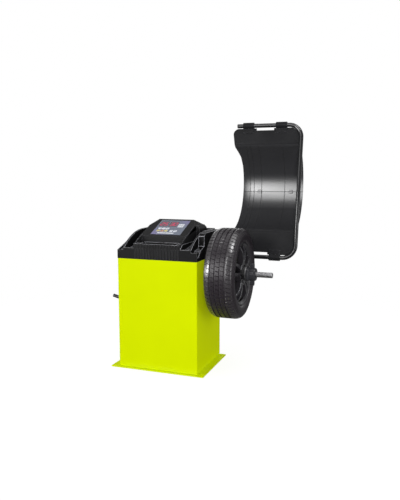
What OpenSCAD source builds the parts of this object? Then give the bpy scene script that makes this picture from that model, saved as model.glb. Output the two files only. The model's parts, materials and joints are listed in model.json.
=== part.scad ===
// Wheel balancing machine with a mounted wheel and a swing-over wheel hood.
// Millimetres. The origin is on the floor under the middle of the cabinet.
// +X points to the wheel side, +Y to the back, +Z up; the operator stands at -Y.

/* [Cabinet] */
// Width of the sheet-steel cabinet
cabinet_w = 560; // [520:5:600]
// Depth of the cabinet
cabinet_d = 476; // [450:2:520]
// Height of the cabinet walls
cabinet_h = 734; // [720:2:760]
// Thickness of the cabinet sheet
sheet = 2; // [1.5:0.5:3]
// Outside bend radius of the cabinet's upright edges
bend_r = 6; // [4:1:12]
// Width of the flanges folded inwards at the top and bottom
fold_w = 20; // [15:1:30]
// Thickness of the base plate
base_t = 8; // [6:1:12]
// How far the base plate stands out at the left and right
base_side = 49; // [40:1:60]
// How far the base plate stands out at the front
base_front = 23; // [15:1:40]
// How far the base plate stays short of the back wall
base_short = 11; // [0:1:20]
// Radius of the anchor holes in the base plate
anchor_r = 7; // [5:0.5:9]
// Distance of the anchor holes from the front and back edges of the plate
anchor_inset = 40; // [25:1:60]

/* [Back panel] */
// Width of the removable back panel
panel_w = 400; // [340:5:440]
// Height of the removable back panel
panel_h = 500; // [420:5:520]
// Height of the back panel's lower edge above the base plate
panel_up = 52; // [40:1:70]
// How far the panel laps over its opening
panel_lap = 20; // [15:1:30]
// Number of cooling slots in the back panel
vent_count = 8; // [4:1:12]
// Length of a cooling slot
vent_l = 120; // [80:5:200]
// Width of a cooling slot
vent_w = 7; // [5:1:10]
// Distance between cooling slots
vent_pitch = 18; // [14:1:24]
// Radius of the panel screws' shanks
screw_r = 2.5; // [2:0.25:3]

/* [Spindle] */
// Height of the spindle axis above the floor
spindle_z = 645; // [630:1:660]
// Radius of the free shaft that takes wheels, cones and the nut
shaft_r = 18; // [16:0.5:20]
// X of the free end of the shaft
shaft_end = 712; // [695:1:725]
// X of the flange face that the wheel seats on
seat_x = 468; // [455:1:480]
// Radius of the backing flange
flange_r = 80; // [70:1:90]
// Radius of the shaft inside the spindle housing
journal_r = 20; // [19:0.5:21]
// Radius of the shaft's tail that carries the pulley
tail_r = 15; // [12:0.5:16]
// Outside radius of the spindle housing
housing_r = 50; // [46:1:54]
// Outside radius of the wheel-side bearing
bearing_r = 40; // [36:1:42]
// Width of the wheel-side bearing
bearing_w = 18; // [14:1:22]
// Outside radius of the tail bearing
tail_bearing_r = 36; // [32:1:38]
// Width of the tail bearing
tail_bearing_w = 17; // [14:1:20]
// Radius of the driven pulley
pulley_r = 70; // [60:1:80]
// Width of both pulleys
pulley_w = 26; // [20:1:30]
// Radius of the encoder disc
encoder_r = 58; // [50:1:64]
// Number of slots round the encoder disc
encoder_slots = 32; // [16:4:48]

/* [Wheel] */
// X of the tyre's middle plane
wheel_x = 428; // [424:1:434]
// Outside radius of the tyre
tyre_r = 298; // [290:1:300]
// Section width of the tyre
tyre_w = 201; // [192:1:204]
// Radius of the rim's bead seat
rim_r = 190.5; // [188:0.5:193]
// Width of the rim between its flanges
rim_w = 152; // [146:1:156]
// Height of the rim flanges above the bead seat
rim_lip = 17; // [14:0.5:19]
// Depth of the drop well below the bead seat
well_depth = 18; // [14:1:19]
// Thickness of the rim barrel
barrel_t = 7; // [5:0.5:8]
// Number of spoke pairs
spoke_pairs = 5; // [4:1:6]
// Width of one spoke at the hub
spoke_w = 26; // [20:1:30]
// Angle between the two spokes of a pair
spoke_split = 22; // [18:1:28]
// Radius of the wheel's centre bore
bore_r = 33; // [30:0.5:36]
// Thickness of the wheel's hub
hub_t = 44; // [38:1:46]
// Radius of the bolt circle
lug_circle_r = 54; // [50:1:57]
// Number of wheel bolt holes
lug_count = 5; // [4:1:6]
// Width of a tread groove
groove_w = 9; // [6:1:11]
// Depth of a tread groove
groove_depth = 8; // [5:0.5:9]

/* [Cone and nut] */
// Radius of the cone's small end
cone_r1 = 24; // [22:1:28]
// Radius of the cone's large end
cone_r2 = 46; // [44:1:50]
// Length of the tapered part of the cone
cone_l = 37; // [32:1:42]
// Radius of the quick nut's body
nut_r = 43; // [40:1:48]
// Length of the quick nut
nut_l = 60; // [54:1:72]
// Reach of the nut's two wings from the axis
wing_r = 74; // [66:1:84]

/* [Drive] */
// Height of the motor axis
motor_z = 300; // [280:1:340]
// Radius of the motor body
motor_r = 56; // [50:1:58]
// Length of the motor body
motor_l = 150; // [130:1:170]
// Radius of the motor pulley
motor_pulley_r = 22; // [18:1:28]
// Radius of the motor shaft
motor_shaft_r = 7; // [6:0.5:9]
// Thickness of the drive belt
belt_t = 4; // [3:0.5:5]
// Number of cooling fins round the motor
fin_count = 24; // [12:2:32]

/* [Weight tray] */
// Height of the tray's centre shelf above the cabinet
shelf_h = 103; // [95:1:115]
// Height of the tray's back wall above the cabinet
tray_back_h = 174; // [165:1:185]
// Height of the outer front lips above the cabinet
outer_lip_h = 58; // [52:1:64]
// Height of the inner front lips above the cabinet
inner_lip_h = 75; // [70:1:82]
// Half width of the centre shelf between the inner lanes
shelf_half = 166; // [160:1:172]
// X of the tall dividing walls' outer faces
divider_x = 240; // [236:1:246]
// Thickness of the tall dividing walls
divider_t = 12; // [8:1:16]
// Thickness of the tray's outer walls and floors
tray_t = 6; // [4:0.5:8]
// Radius of the dividing walls' curved top edge
divider_arc_r = 474; // [460:2:500]
// Rise of the lane floors up to the console's shoulders
lane_rise = 52; // [40:1:54]
// Height of a rib across a lane
lane_rib_h = 4; // [2:0.5:6]
// Distance between lane ribs
lane_rib_pitch = 30; // [24:1:48]
// Depth of the sunken pocket in front of the console
pocket_depth = 24; // [16:1:30]
// Distance between the upright ribs on the front
front_rib_pitch = 20; // [12:1:30]
// How far the front ribs stand out
front_rib_h = 2; // [1:0.25:3]

/* [Console] */
// X of the control panel's middle
console_x = 6; // [0:1:12]
// Tilt of the control panel from level, in degrees
console_tilt = 21.5; // [18:0.5:25]
// Width of the control panel
face_w = 212; // [200:1:220]
// Length of the control panel along its slope
face_l = 222; // [210:1:230]
// Thickness of the control panel
face_t = 3; // [2:0.5:4]
// Wall of the console housing
console_wall = 4; // [3:0.5:5]
// Width of a display window
display_w = 58; // [50:1:62]
// Height of a display window
display_h = 72; // [50:1:76]
// Width of a key
key_w = 20; // [16:1:22]
// Height of a key along the panel
key_h = 18; // [14:1:20]
// Travel of a key
key_travel = 1.5; // [1:0.25:2.5]

/* [Hood] */
// Y of the hood's pivot axis
pivot_y = 360; // [350:1:370]
// Height of the hood's pivot axis
pivot_z = 709; // [700:1:716]
// Lean of the open hood towards the back, in degrees
hood_lean = 10; // [6:0.5:12]
// Swing of the hood from open to closed, in degrees
hood_swing = 52; // [40:1:53]
// Outside radius of the hood tube
tube_r = 15; // [13:0.5:16]
// Wall of the hood tube
tube_wall = 2.5; // [1.5:0.25:3]
// Bend radius of the hood tube's middle line
tube_bend = 90; // [80:1:110]
// Length of the hood frame from the pivot to its top bar
hood_l = 944; // [920:1:960]
// X of the tube's upright run
tube_x = 786; // [776:1:796]
// X of the top bar's cut end
bar_end_x = 322; // [312:1:340]
// Thickness of the hood shells
shell_t = 4; // [3:0.5:5]
// Depth of the hood's arch
arch_depth = 200; // [180:1:215]
// Half length of the arch along the frame
arch_half = 305; // [295:1:315]
// Distance of the arch's middle from the pivot
arch_mid = 497; // [485:1:505]
// Radius between the arch and the flat wings
arch_fillet = 26; // [15:1:40]
// X of the shells' left edge along the arch
shell_x0 = 332; // [324:1:340]
// X of the top lobe's left edge
lobe_x0 = 289; // [287:1:300]
// Width of a tube clip
clip_w = 78; // [60:1:90]
// Wall of a tube clip round the tube
clip_wall = 8; // [5:0.5:10]

/* [Distance gauge] */
// Y of the gauge rod
gauge_y = -45; // [-55:1:-35]
// Height of the gauge rod above the cabinet's top
gauge_up = 36; // [30:1:40]
// Radius of the gauge rod
gauge_r = 6; // [5:0.5:7]
// Length of the gauge rod
gauge_l = 210; // [190:1:230]
// Reach of the gauge arm
gauge_reach = 72; // [60:1:76]
// Droop of the parked gauge arm, in degrees
gauge_droop = 24; // [15:1:30]

/* [Side pegs] */
// Number of cone pegs on the left side
peg_count = 3; // [2:1:4]
// Distance between the pegs
peg_pitch = 120; // [100:1:130]
// Y of the front peg
peg_y = -185; // [-195:1:-170]
// Height of the pegs where they leave the wall
peg_z = 460; // [440:1:500]
// Radius of a peg
peg_r = 11; // [8:0.5:14]
// Length of a peg
peg_l = 66; // [55:1:80]
// Upward tilt of the pegs, in degrees
peg_tilt = 14; // [5:1:20]

/* [Hidden] */
$fn = 96;
// Clearances: running fits, seated fits and loose fits
run = 0.04;
seat = 0.05;
loose = 0.3;
cut = 1;

cab_x = cabinet_w / 2;
cab_y = cabinet_d / 2;
cab_top = base_t + cabinet_h;
anchor_x = cab_x + base_side / 2;
anchor_y0 = -cab_y - base_front + anchor_inset;
anchor_y1 = cab_y - base_short - anchor_inset;
panel_z0 = base_t + panel_up;
panel_z1 = panel_z0 + panel_h;
panel_screw_inset = panel_lap / 2;
screw_head_r = 2 * screw_r;
screw_head_t = 3;

// Spindle stations along X
housing_x0 = 50;
housing_x1 = 375;
cap_t = 6;
housing_gap = 4;
bearing_x0 = housing_x1 - bearing_w;
collar_w = 14;
collar_gap = 4;
collar_x0 = housing_x1 + cap_t + collar_gap;
collar_x1 = collar_x0 + collar_w;
collar_h = 7;
collar_r = journal_r + collar_h;
flange_hub_t = 8;
flange_hub_r = collar_r + flange_hub_t;
flange_t = 12;
flange_neck = 26;
flange_chamfer = 6;
flange_land = 22;
flange_recess = 5;
flange_hole_r = 4;
tail_step = 2.5;
tail_seat_r = journal_r - tail_step;
tail_x0 = -50;
pulley_x0 = -28;
pulley_x1 = pulley_x0 + pulley_w;
encoder_t = 2;
encoder_gap = 12;
encoder_x0 = pulley_x0 - encoder_gap;
encoder_slot_w = 3;
encoder_slot_l = 8;
encoder_edge = 4;
fork_half = 8;
fork_clear = 8;
fork_arm_y = pulley_r + belt_t + fork_clear;
fork_arm_t = 10;
fork_out = 8;
fork_in = 10;
fork_lap = 14;
fork_gap = 2;
fork_pad = 2;
housing_bore_gap = 8;
housing_bore_r = journal_r + housing_bore_gap;
cage_in = 2;
race_share = 0.3;
chamfer = 4;

// Stack under the spindle housing
foot_t = 16;
foot_half_y = 68;
foot_x0 = 70;
foot_x1 = 250;
web_inset = 30;
web_top = 14;
web_lap = 6;
foot_drop = 8;
foot_top = spindle_z - housing_r - foot_drop;
sensor_t = 8;
sensor_r = 14;
bench_top = foot_top - foot_t - sensor_t;
bench_t = 5;
bench_half_y = 84;
bench_x0 = 60;
bench_inset = 24;
bench_x1 = cab_x - bench_inset;
bench_hole_r = 55;
bench_hole_up = 112;
bench_hole_down = 85;
bench_hole_z = [base_t + bench_hole_up, bench_top - bench_hole_down];
bench_foot_w = 40;
mount_bolt_r = 5;
// Hexagon heads, as shares of the bolt radius
head_r = 1.7;
head_t = 1.3;
mount_inset_x = 25;
mount_inset_y = 16;
mount_bolt_x = [foot_x0 + mount_inset_x, foot_x1 - mount_inset_x];
mount_bolt_y = [-foot_half_y + mount_inset_y, foot_half_y - mount_inset_y];

// Wheel
half_tyre = tyre_w / 2;
bulge_r = 52.5;
bulge_off = half_tyre - bulge_r;
crown_drop = 2;
bulge_axis_r = tyre_r - bulge_r - crown_drop;
shoulder_r = 32;
shoulder_in = 6;
shoulder_off = half_tyre - shoulder_r - shoulder_in;
rubber_t = 12;
bead_gap = 5;
half_rim = rim_w / 2;
lip_t = 11;
lip_face = 10;
lip_bevel = 3;
lip_round = 2;
seat_taper = 1;
well_back = 40;
well_back_seat = 24;
well_front = 8;
well_rise = 18;
lip_r = rim_r + rim_lip;
bead_w = 14;
hub_x1 = seat_x + hub_t;
hub_r = 74;
hub_pad_t = 16;
spoke_root_r = 20;
spoke_back = 14;
crown_in = 40;
crown_out = 12;
crown_dish = 8;
crown_floor = 22;
lug_r = 7;
lug_head_r = 12;
groove_x = [-46, -16, 16, 46];
cone_tip_x = hub_x1 - cone_l * (bore_r - cone_r1) / (cone_r2 - cone_r1) + seat;
cone_land = 8;
cone_x1 = cone_tip_x + cone_l + cone_land;
nut_x0 = cone_x1 + loose;
nut_x1 = nut_x0 + nut_l;
relief_gap = 2;
relief_x = nut_x1 + relief_gap;
relief_w = 3;
relief_d = 1;
nut_lip = 5;
nut_lip_t = 12;
wing_in = 22;
wing_t = 26;
wing_w = 24;
valve_r = 5.5;
valve_tilt = 35;
valve_l = 38;
valve_in = 30;
valve_foot = 5;
valve_base = 12;
valve_neck = 2;

// Drive
motor_gap = 14;
motor_x0 = pulley_x1 + motor_gap;
motor_x1 = motor_x0 + motor_l;
fin_t = 3;
fin_h = 5;
fin_end = 12;
motor_foot_half = 50;
motor_foot_t = 8;
motor_foot_end = 16;
motor_neck_half = 26;
motor_neck_drop = 40;
motor_bore_l = 60;
rotor_in = 50;
cradle_t = 6;
cradle_gap = 10;
cradle_z = motor_z - motor_r - fin_h - cradle_gap;
belt_in = pulley_r + loose;
motor_belt_in = motor_pulley_r + loose;
axes_gap = spindle_z - motor_z;
belt_lean = asin((pulley_r - motor_pulley_r) / axes_gap);
belt_steps = 28;
belt_inset = 4;
pulley_lip = 2;
pulley_lip_slope = 1;

// Weight tray
tray_lap = 2;
tray_y0 = -cab_y - tray_lap;
tray_y1 = cab_y;
shelf_z = cab_top + shelf_h;
tray_back_z = cab_top + tray_back_h;
outer_lip_z = cab_top + outer_lip_h;
inner_lip_z = cab_top + inner_lip_h;
lip_wall = 8;
lane_y0 = tray_y0 + lip_wall;
back_wall = 10;
lane_y1 = tray_y1 - back_wall;
lane_depth = 10;
lane_z0 = outer_lip_z - lane_depth;
shoulder_y0 = 64;
lane_slope = lane_rise / (shoulder_y0 - lane_y0);
shelf_gap = 2;
inner_x0 = shelf_half + shelf_gap;
inner_x1 = divider_x - divider_t;
outer_x0 = divider_x;
outer_x1 = cab_x - tray_t;
divider_flat = 185;
divider_arc_y = tray_y1 - divider_flat;
pod_y0 = -97;
pod_drop = 4;
pod_z = tray_back_z - pod_drop;
pod_round = 20;
tray_rib_t = 3;
pocket_half = 125;
pocket_lip = 16;
pocket_y0 = tray_y0 + pocket_lip;
pocket_y1 = -130;
front_rib_half = 150;
front_rib_t = 8;
front_rib_inset = 8;
left_rise_y = -40;
left_rise = 64;
left_top_y = 150;
left_top = 103;
left_back = 105;
scoop_y = 4;
scoop_depth = 32;
scoop_floor = 28;
scoop_l = 22;
scoop_end_y = -165;
scoop_end = 8;
pod_foot = 27;
pod_lean = 2;

// Console
face_y0 = -105;
face_up = 154;
face_z0 = cab_top + face_up;
face_brow = 10;
console_front = -120;
console_back = 205;
console_gap = 1;
console_half = shelf_half - console_gap;
console_cham = 37;
console_top_y = face_y0 + (face_l + face_brow) * cos(console_tilt);
console_top_z = face_z0 + (face_l + face_brow) * sin(console_tilt);
shoulder_half = 190;
shoulder_up = 98;
shoulder_z = shelf_z + shoulder_up;
shoulder_cham = 18;
cheek_y0 = -222;
cheek_t = 8;
face_ledge = 8;
face_cut = 60;
face_sill = 8;
face_sill_y = 4;
face_sink = 1.5;
slope_wall = 1.2;
brow_y = 14;
brow_drop = 4;
cheek_nose_y = 6;
cheek_nose = 4;
cheek_lap = 8;
display_u = [-66, 4];
display_v = 154;
board_t = 1.6;
board_inset = 10;
post_u = 16;
post_v = 20;
digit_inset = 2;
lens_sink = 0.5;
key_cap = 2.5;
key_foot = 3;
key_lip = 2;
board_clear = 5.5;
board_gap = key_foot + key_travel + board_clear;
// Centre of each key on the panel: across from the middle, up from the lower edge
key_at = [[-72, 86], [-44, 86], [-16, 86], [-72, 52], [-44, 52], [-16, 52], [24, 52], [52, 52]];

// Hood
arch_r = (pow(arch_half, 2) + pow(arch_depth, 2)) / (2 * arch_depth);
arch_v = arch_depth - arch_r;
fillet_v = shell_t + arch_fillet;
fillet_u = sqrt(pow(arch_r + shell_t + arch_fillet, 2) - pow(fillet_v - arch_v, 2));
fillet_angle = atan2(fillet_u, fillet_v - arch_v);
bend_steps = 6;
bend_lap = 0.6;
bend_over = 0.05;
wing_gap = 4;
wing_top = hood_l - tube_r - wing_gap;
wing_low = tube_r + wing_gap;
shell_gap = 2;
shell_x1 = tube_x - shell_gap;
shell_corner = 70;
lobe_corner = 40;
grip_x0 = 461;
grip_x1 = 588;
grip_depth = 15;
clip_x = [362, 603];
clip_tab = 34;
clip_tab_t = 5;
ring_r = tube_r + clip_wall;
crease_x = [385, 416, 474, 649];
crease_w = 5;
crease_depth = 1.5;
seam_clip_x = [445, 681];
seam_clip_w = 28;
seam_clip_h = 26;
seam_clip_t = 2.5;
tube_tail_x = 70;
plug_head = 4;
plug_in = 16;
lobe_lean = 14;
lobe_low = 10;
lobe_foot = 62;
lobe_end = 120;
lobe_out = 6;
ear_t = 8;
ear_x = [100, 232];
ear_r = 30;
ear_turn = 30;
bush_r = 20;
bush_l = 20;
bush_flange_r = 25;
bush_flange_t = 3;
bracket_t = 6;
bracket_x0 = 72;
bracket_x1 = 268;
bracket_h = 98;
bracket_down = 12;
bracket_z1 = cab_top - bracket_down;
bracket_z0 = bracket_z1 - bracket_h;
bracket_bolt_r = 5;
bracket_bolt_inset = 15;
bracket_bolt_in = 8;
stop_r = 6;
stop_off = 29;
stop_gap = 3;
stop_collar_r = 38;
stop_collar_x0 = ear_x[0] + bush_l + loose;
stop_collar_w = 30;
stop_from = 270;
stop_half = asin((stop_r + loose) / stop_off);
end_collar_w = 16;
end_collar_x1 = ear_x[0] - bush_flange_t - loose;

// Distance gauge
gauge_z = cab_top + gauge_up;
guide_r = 11;
guide_flange_r = 20;
guide_flange_t = 4;
guide_l = 150;
arm_t = 8;
arm_gap = 1;
arm_x0 = cab_x + guide_flange_t + arm_gap;
arm_hub_r = 13;
arm_tip_r = 7;
feeler_r = 4;
feeler_l = 12;
rod_head = 4;
rod_head_t = 3;
rod_gap = 2;
gauge_x1 = arm_x0 + arm_t + rod_gap;

// Power board on the left wall
supply_y = -60;
supply_down = 322;
supply_z = cab_top - supply_down;
supply_l = 160;
supply_h = 120;
supply_t = 2;
supply_gap = 10;
supply_inset = 10;
post_r = 4;
coil_y = 15;
coil_z = 20;
coil_w = 60;
coil_h = 41;
can_count = 3;
can_y = 95;
can_z = 30;
can_pitch = 22;
can_r = 9;
can_h = 31;
sink_y = 90;
sink_z = 60;
sink_h = 29;
sink_t = 6;

// Power inlet and switch on the back wall
socket_depth = 24;
socket_rim_t = 3;
socket_wall = 3;
plug_depth = 16;
rocker_depth = 18;
rocker_pin_r = 1.5;
rocker_pin_l = 2;
rocker_proud = 5;
rocker_dip = 1.5;
rocker_root = 9;
rocker_root_in = 6;
inlet_in = 90;
inlet_down = 90;
inlet_x = -cab_x + inlet_in;
inlet_z = cab_top - inlet_down;
inlet_w = 30;
inlet_h = 24;
inlet_rim = 4;
switch_in = 150;
switch_x = -cab_x + switch_in;
switch_w = 22;
switch_h = 32;
switch_rim = 3;
rocker_tilt = 9;
rocker_w = 16;
rocker_h = 24;

// Helpers

// A rectangle from two corners
module rect(a, b) translate(a) square([b[0] - a[0], b[1] - a[1]]);

// A block from two corners
module block(a, b) translate(a) cube([b[0] - a[0], b[1] - a[1], b[2] - a[2]]);

// A rectangle about the origin with round corners
module round_rect(w, h, r) {
    square([w - 2 * r, h], center = true);
    square([w, h - 2 * r], center = true);
    for (sx = [-1, 1], sy = [-1, 1])
        translate([sx * (w / 2 - r), sy * (h / 2 - r)]) circle(r);
}

// A point at a distance and direction from a middle
function polar(c, r, a) = c + r * [cos(a), sin(a)];

// Extrudes a (y, z) profile along X
module along_x(x0, x1) translate([x0, 0, 0]) rotate([90, 0, 90]) linear_extrude(x1 - x0) children();

// Extrudes an (x, z) profile along Y
module along_y(y0, y1) translate([0, y1, 0]) rotate([90, 0, 0]) linear_extrude(y1 - y0) children();

// Puts local Z along X on a chosen axis
module axis_x(y, z) translate([0, y, z]) rotate([0, 90, 0]) children();

// Turns a (radius, x) profile about the spindle axis
module spun() axis_x(0, spindle_z) rotate_extrude() children();

// A straight rod along X
module rod_x(y, z, r, x0, x1) axis_x(y, z) translate([0, 0, x0]) cylinder(r = r, h = x1 - x0);

// The control panel's own plane: x across, y up the slope, z out of the face
module on_panel() translate([console_x, face_y0, face_z0]) rotate([console_tilt, 0, 0]) children();

// The open hood's own frame: z along the frame from the pivot, y towards the back
module in_hood() translate([0, pivot_y, pivot_z]) rotate([-hood_lean, 0, 0]) children();

// Cabinet

module base_plate() color("#c6d400") difference() {
    block([-cab_x - base_side, -cab_y - base_front, 0], [cab_x + base_side, cab_y - base_short, base_t]);
    for (x = [-anchor_x, anchor_x], y = [anchor_y0, anchor_y1])
        translate([x, y, -cut]) cylinder(r = anchor_r, h = base_t + 2 * cut);
}

module cabinet_fold(z) translate([0, 0, z]) linear_extrude(sheet) difference() {
    round_rect(cabinet_w, cabinet_d, bend_r);
    square([cabinet_w - 2 * fold_w, cabinet_d - 2 * fold_w], center = true);
}

module panel_screw_points() for (x = [-1, 1], z = [panel_z0 + panel_screw_inset,
        (panel_z0 + panel_z1) / 2, panel_z1 - panel_screw_inset])
    translate([x * (panel_w / 2 - panel_screw_inset), cab_y, z]) rotate([-90, 0, 0]) children();

module bracket_bolt_points() for (x = [bracket_x0 + bracket_bolt_inset, bracket_x1 - bracket_bolt_inset],
        z = [bracket_z0 + bracket_bolt_inset, bracket_z1 - bracket_bolt_inset])
    translate([x, cab_y, z]) rotate([-90, 0, 0]) children();

module cabinet() color("#d8e902") difference() {
    union() {
        translate([0, 0, base_t]) linear_extrude(cabinet_h) difference() {
            round_rect(cabinet_w, cabinet_d, bend_r);
            round_rect(cabinet_w - 2 * sheet, cabinet_d - 2 * sheet, bend_r - sheet);
        }
        cabinet_fold(base_t);
        cabinet_fold(cab_top - sheet);
    }
    block([-panel_w / 2 + panel_lap, cab_y - sheet - cut, panel_z0 + panel_lap],
        [panel_w / 2 - panel_lap, cab_y + cut, panel_z1 - panel_lap]);
    rod_x(0, spindle_z, housing_r + housing_gap, cab_x - sheet - cut, cab_x + cut);
    panel_screw_points() translate([0, 0, -sheet - cut]) cylinder(r = screw_r + seat, h = sheet + 2 * cut);
    bracket_bolt_points() translate([0, 0, -sheet - cut])
        cylinder(r = bracket_bolt_r + seat, h = sheet + 2 * cut);
    translate([inlet_x, 0, inlet_z]) block([-inlet_w / 2 - seat, cab_y - sheet - cut, -inlet_h / 2 - seat],
        [inlet_w / 2 + seat, cab_y + cut, inlet_h / 2 + seat]);
    translate([switch_x, 0, inlet_z]) block([-switch_w / 2 - seat, cab_y - sheet - cut, -switch_h / 2 - seat],
        [switch_w / 2 + seat, cab_y + cut, switch_h / 2 + seat]);
}

module back_panel() color("#c9d802") difference() {
    along_y(cab_y, cab_y + sheet) rect([-panel_w / 2, panel_z0], [panel_w / 2, panel_z1]);
    for (side = [-1, 1], i = [0 : vent_count - 1])
        translate([side * panel_w / 4, 0, panel_z1 - 3 * panel_lap - i * vent_pitch])
            along_y(cab_y - cut, cab_y + sheet + cut) round_rect(vent_l, vent_w, vent_w / 2 - seat);
    panel_screw_points() translate([0, 0, -cut]) cylinder(r = screw_r + seat, h = sheet + 2 * cut);
}

module panel_screws() color("#3a3a3c") panel_screw_points() {
    translate([0, 0, -sheet - screw_head_t]) cylinder(r = screw_r, h = 2 * sheet + screw_head_t);
    translate([0, 0, sheet]) cylinder(r = screw_head_r, h = screw_head_t);
}

module cone_pegs() color("#232325") for (i = [0 : peg_count - 1])
    translate([-cab_x, peg_y + i * peg_pitch, peg_z]) {
        rotate([0, -90, 0]) cylinder(r = 2 * peg_r, h = sheet);
        difference() {
            rotate([0, -90 + peg_tilt, 0]) translate([0, 0, -peg_r]) cylinder(r = peg_r, h = peg_l + peg_r);
            block([0, -4 * peg_r, -4 * peg_r], [4 * peg_r, 4 * peg_r, 4 * peg_r]);
        }
    }

// Spindle and drive

// The free end is set off by a relief groove, where the clamped nut stops
module main_shaft() color("#9a9c9e") spun() polygon([[0, tail_x0], [tail_r, tail_x0],
    [tail_r, housing_x0 - cut], [tail_seat_r, housing_x0 - cut],
    [tail_seat_r, housing_x0 + tail_bearing_w + cut], [journal_r, housing_x0 + tail_bearing_w + cut],
    [journal_r, collar_x0], [collar_r, collar_x0], [collar_r, collar_x1], [journal_r, collar_x1],
    [journal_r, seat_x], [shaft_r, seat_x], [shaft_r, relief_x], [shaft_r - relief_d, relief_x],
    [shaft_r - relief_d, relief_x + relief_w], [shaft_r, relief_x + relief_w], [shaft_r, shaft_end - chamfer],
    [shaft_r - chamfer, shaft_end], [0, shaft_end]]);

module backing_flange() color("#4a4b4e") difference() {
    spun() polygon([[journal_r + run, collar_x1], [flange_hub_r, collar_x1],
        [flange_hub_r, seat_x - flange_neck], [flange_r - flange_chamfer, seat_x - flange_t - chamfer / 2],
        [flange_r, seat_x - flange_t], [flange_r, seat_x], [flange_r - flange_land, seat_x],
        [flange_r - flange_land - chamfer / 2, seat_x - flange_recess],
        [journal_r + run, seat_x - flange_recess]]);
    for (a = [45 : 90 : 315]) axis_x(0, spindle_z) rotate(a)
        translate([flange_r - flange_land / 2, 0, seat_x - 2 * flange_t])
            cylinder(r = flange_hole_r, h = 4 * flange_t);
}

module spindle_housing() color("#55585c") difference() {
    union() {
        rod_x(0, spindle_z, housing_r, housing_x0, housing_x1);
        along_x(foot_x0, foot_x1) {
            rect([-foot_half_y, foot_top - foot_t], [foot_half_y, foot_top]);
            polygon([[-foot_half_y + web_inset, foot_top], [foot_half_y - web_inset, foot_top],
                [housing_r - web_lap, spindle_z - web_top], [-housing_r + web_lap, spindle_z - web_top]]);
        }
    }
    spun() polygon([[0, housing_x0 - cut], [tail_bearing_r + run, housing_x0 - cut],
        [tail_bearing_r + run, housing_x0 + tail_bearing_w], [housing_bore_r, housing_x0 + tail_bearing_w],
        [housing_bore_r, bearing_x0], [bearing_r + run, bearing_x0], [bearing_r + run, housing_x1 + cut],
        [0, housing_x1 + cut]]);
    for (x = mount_bolt_x, y = mount_bolt_y)
        translate([x, y, foot_top - foot_t - cut]) cylinder(r = mount_bolt_r + seat, h = foot_t + 2 * cut);
}

// A ball bearing: two rings joined by a recessed cage
module bearing_ring(r0, r1, x0, x1) {
    land = (r1 - r0) * race_share;
    spun() polygon([[r0 + run, x0], [r0 + land, x0], [r0 + land, x0 + cage_in], [r1 - land, x0 + cage_in],
        [r1 - land, x0], [r1, x0], [r1, x1], [r1 - land, x1], [r1 - land, x1 - cage_in],
        [r0 + land, x1 - cage_in], [r0 + land, x1], [r0 + run, x1]]);
}

module wheel_bearing() color("#b9bcc0") bearing_ring(journal_r, bearing_r, bearing_x0, housing_x1);
module tail_bearing() color("#b9bcc0")
    bearing_ring(tail_seat_r, tail_bearing_r, housing_x0, housing_x0 + tail_bearing_w);

module bearing_cap() color("#3c3e41") difference() {
    rod_x(0, spindle_z, housing_r, housing_x1, housing_x1 + cap_t);
    rod_x(0, spindle_z, journal_r + 2 * loose, housing_x1 - cut, housing_x1 + cap_t + cut);
}

module force_sensors() color("#b08d4a") for (x = mount_bolt_x, y = mount_bolt_y)
    translate([x, y, bench_top]) difference() {
        cylinder(r = sensor_r, h = sensor_t);
        translate([0, 0, -cut]) cylinder(r = mount_bolt_r + seat, h = sensor_t + 2 * cut);
    }

module housing_bolts() color("#7d8084") for (x = mount_bolt_x, y = mount_bolt_y) translate([x, y, 0]) {
    translate([0, 0, foot_top]) cylinder(r = head_r * mount_bolt_r, h = head_t * mount_bolt_r, $fn = 6);
    translate([0, 0, bench_top - 3 * mount_bolt_r]) cylinder(r = mount_bolt_r, h = foot_top - bench_top
        + 3 * mount_bolt_r);
}

// A folded steel bench that carries the spindle and the motor
module spindle_bench() color("#2f3134") difference() {
    along_x(bench_x0, bench_x1) {
        rect([-bench_half_y, bench_top - bench_t], [bench_half_y, bench_top]);
        for (s = [0, 1]) mirror([s, 0]) {
            rect([-bench_half_y, base_t], [-bench_half_y + bench_t, bench_top]);
            rect([-bench_half_y - bench_foot_w, base_t], [-bench_half_y + bench_t, base_t + bench_t]);
        }
    }
    for (x = mount_bolt_x, y = mount_bolt_y)
        translate([x, y, bench_top - bench_t - cut]) cylinder(r = mount_bolt_r + seat, h = bench_t + 2 * cut);
    for (z = bench_hole_z) translate([(bench_x0 + bench_x1) / 2, 0, z]) rotate([90, 0, 0])
        cylinder(r = bench_hole_r, h = 4 * bench_half_y, center = true);
}

module motor_cradle() color("#2f3134") block([motor_x0, -bench_half_y + bench_t, cradle_z - cradle_t],
    [motor_x1, bench_half_y - bench_t, cradle_z]);

module drive_motor() color("#6a6e73") difference() {
    union() {
        rod_x(0, motor_z, motor_r, motor_x0, motor_x1);
        for (a = [0 : 360 / fin_count : 359]) axis_x(0, motor_z) rotate(a)
            translate([motor_r - cut, -fin_t / 2, motor_x0 + fin_end])
                cube([fin_h + cut, fin_t, motor_l - 2 * fin_end]);
        along_x(motor_x0 + motor_foot_end, motor_x1 - motor_foot_end) polygon([[-motor_foot_half, cradle_z],
            [motor_foot_half, cradle_z], [motor_foot_half, cradle_z + motor_foot_t],
            [motor_neck_half, motor_z - motor_neck_drop], [-motor_neck_half, motor_z - motor_neck_drop],
            [-motor_foot_half, cradle_z + motor_foot_t]]);
    }
    rod_x(0, motor_z, motor_shaft_r + run, motor_x0 - cut, motor_x0 + motor_bore_l);
}

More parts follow.
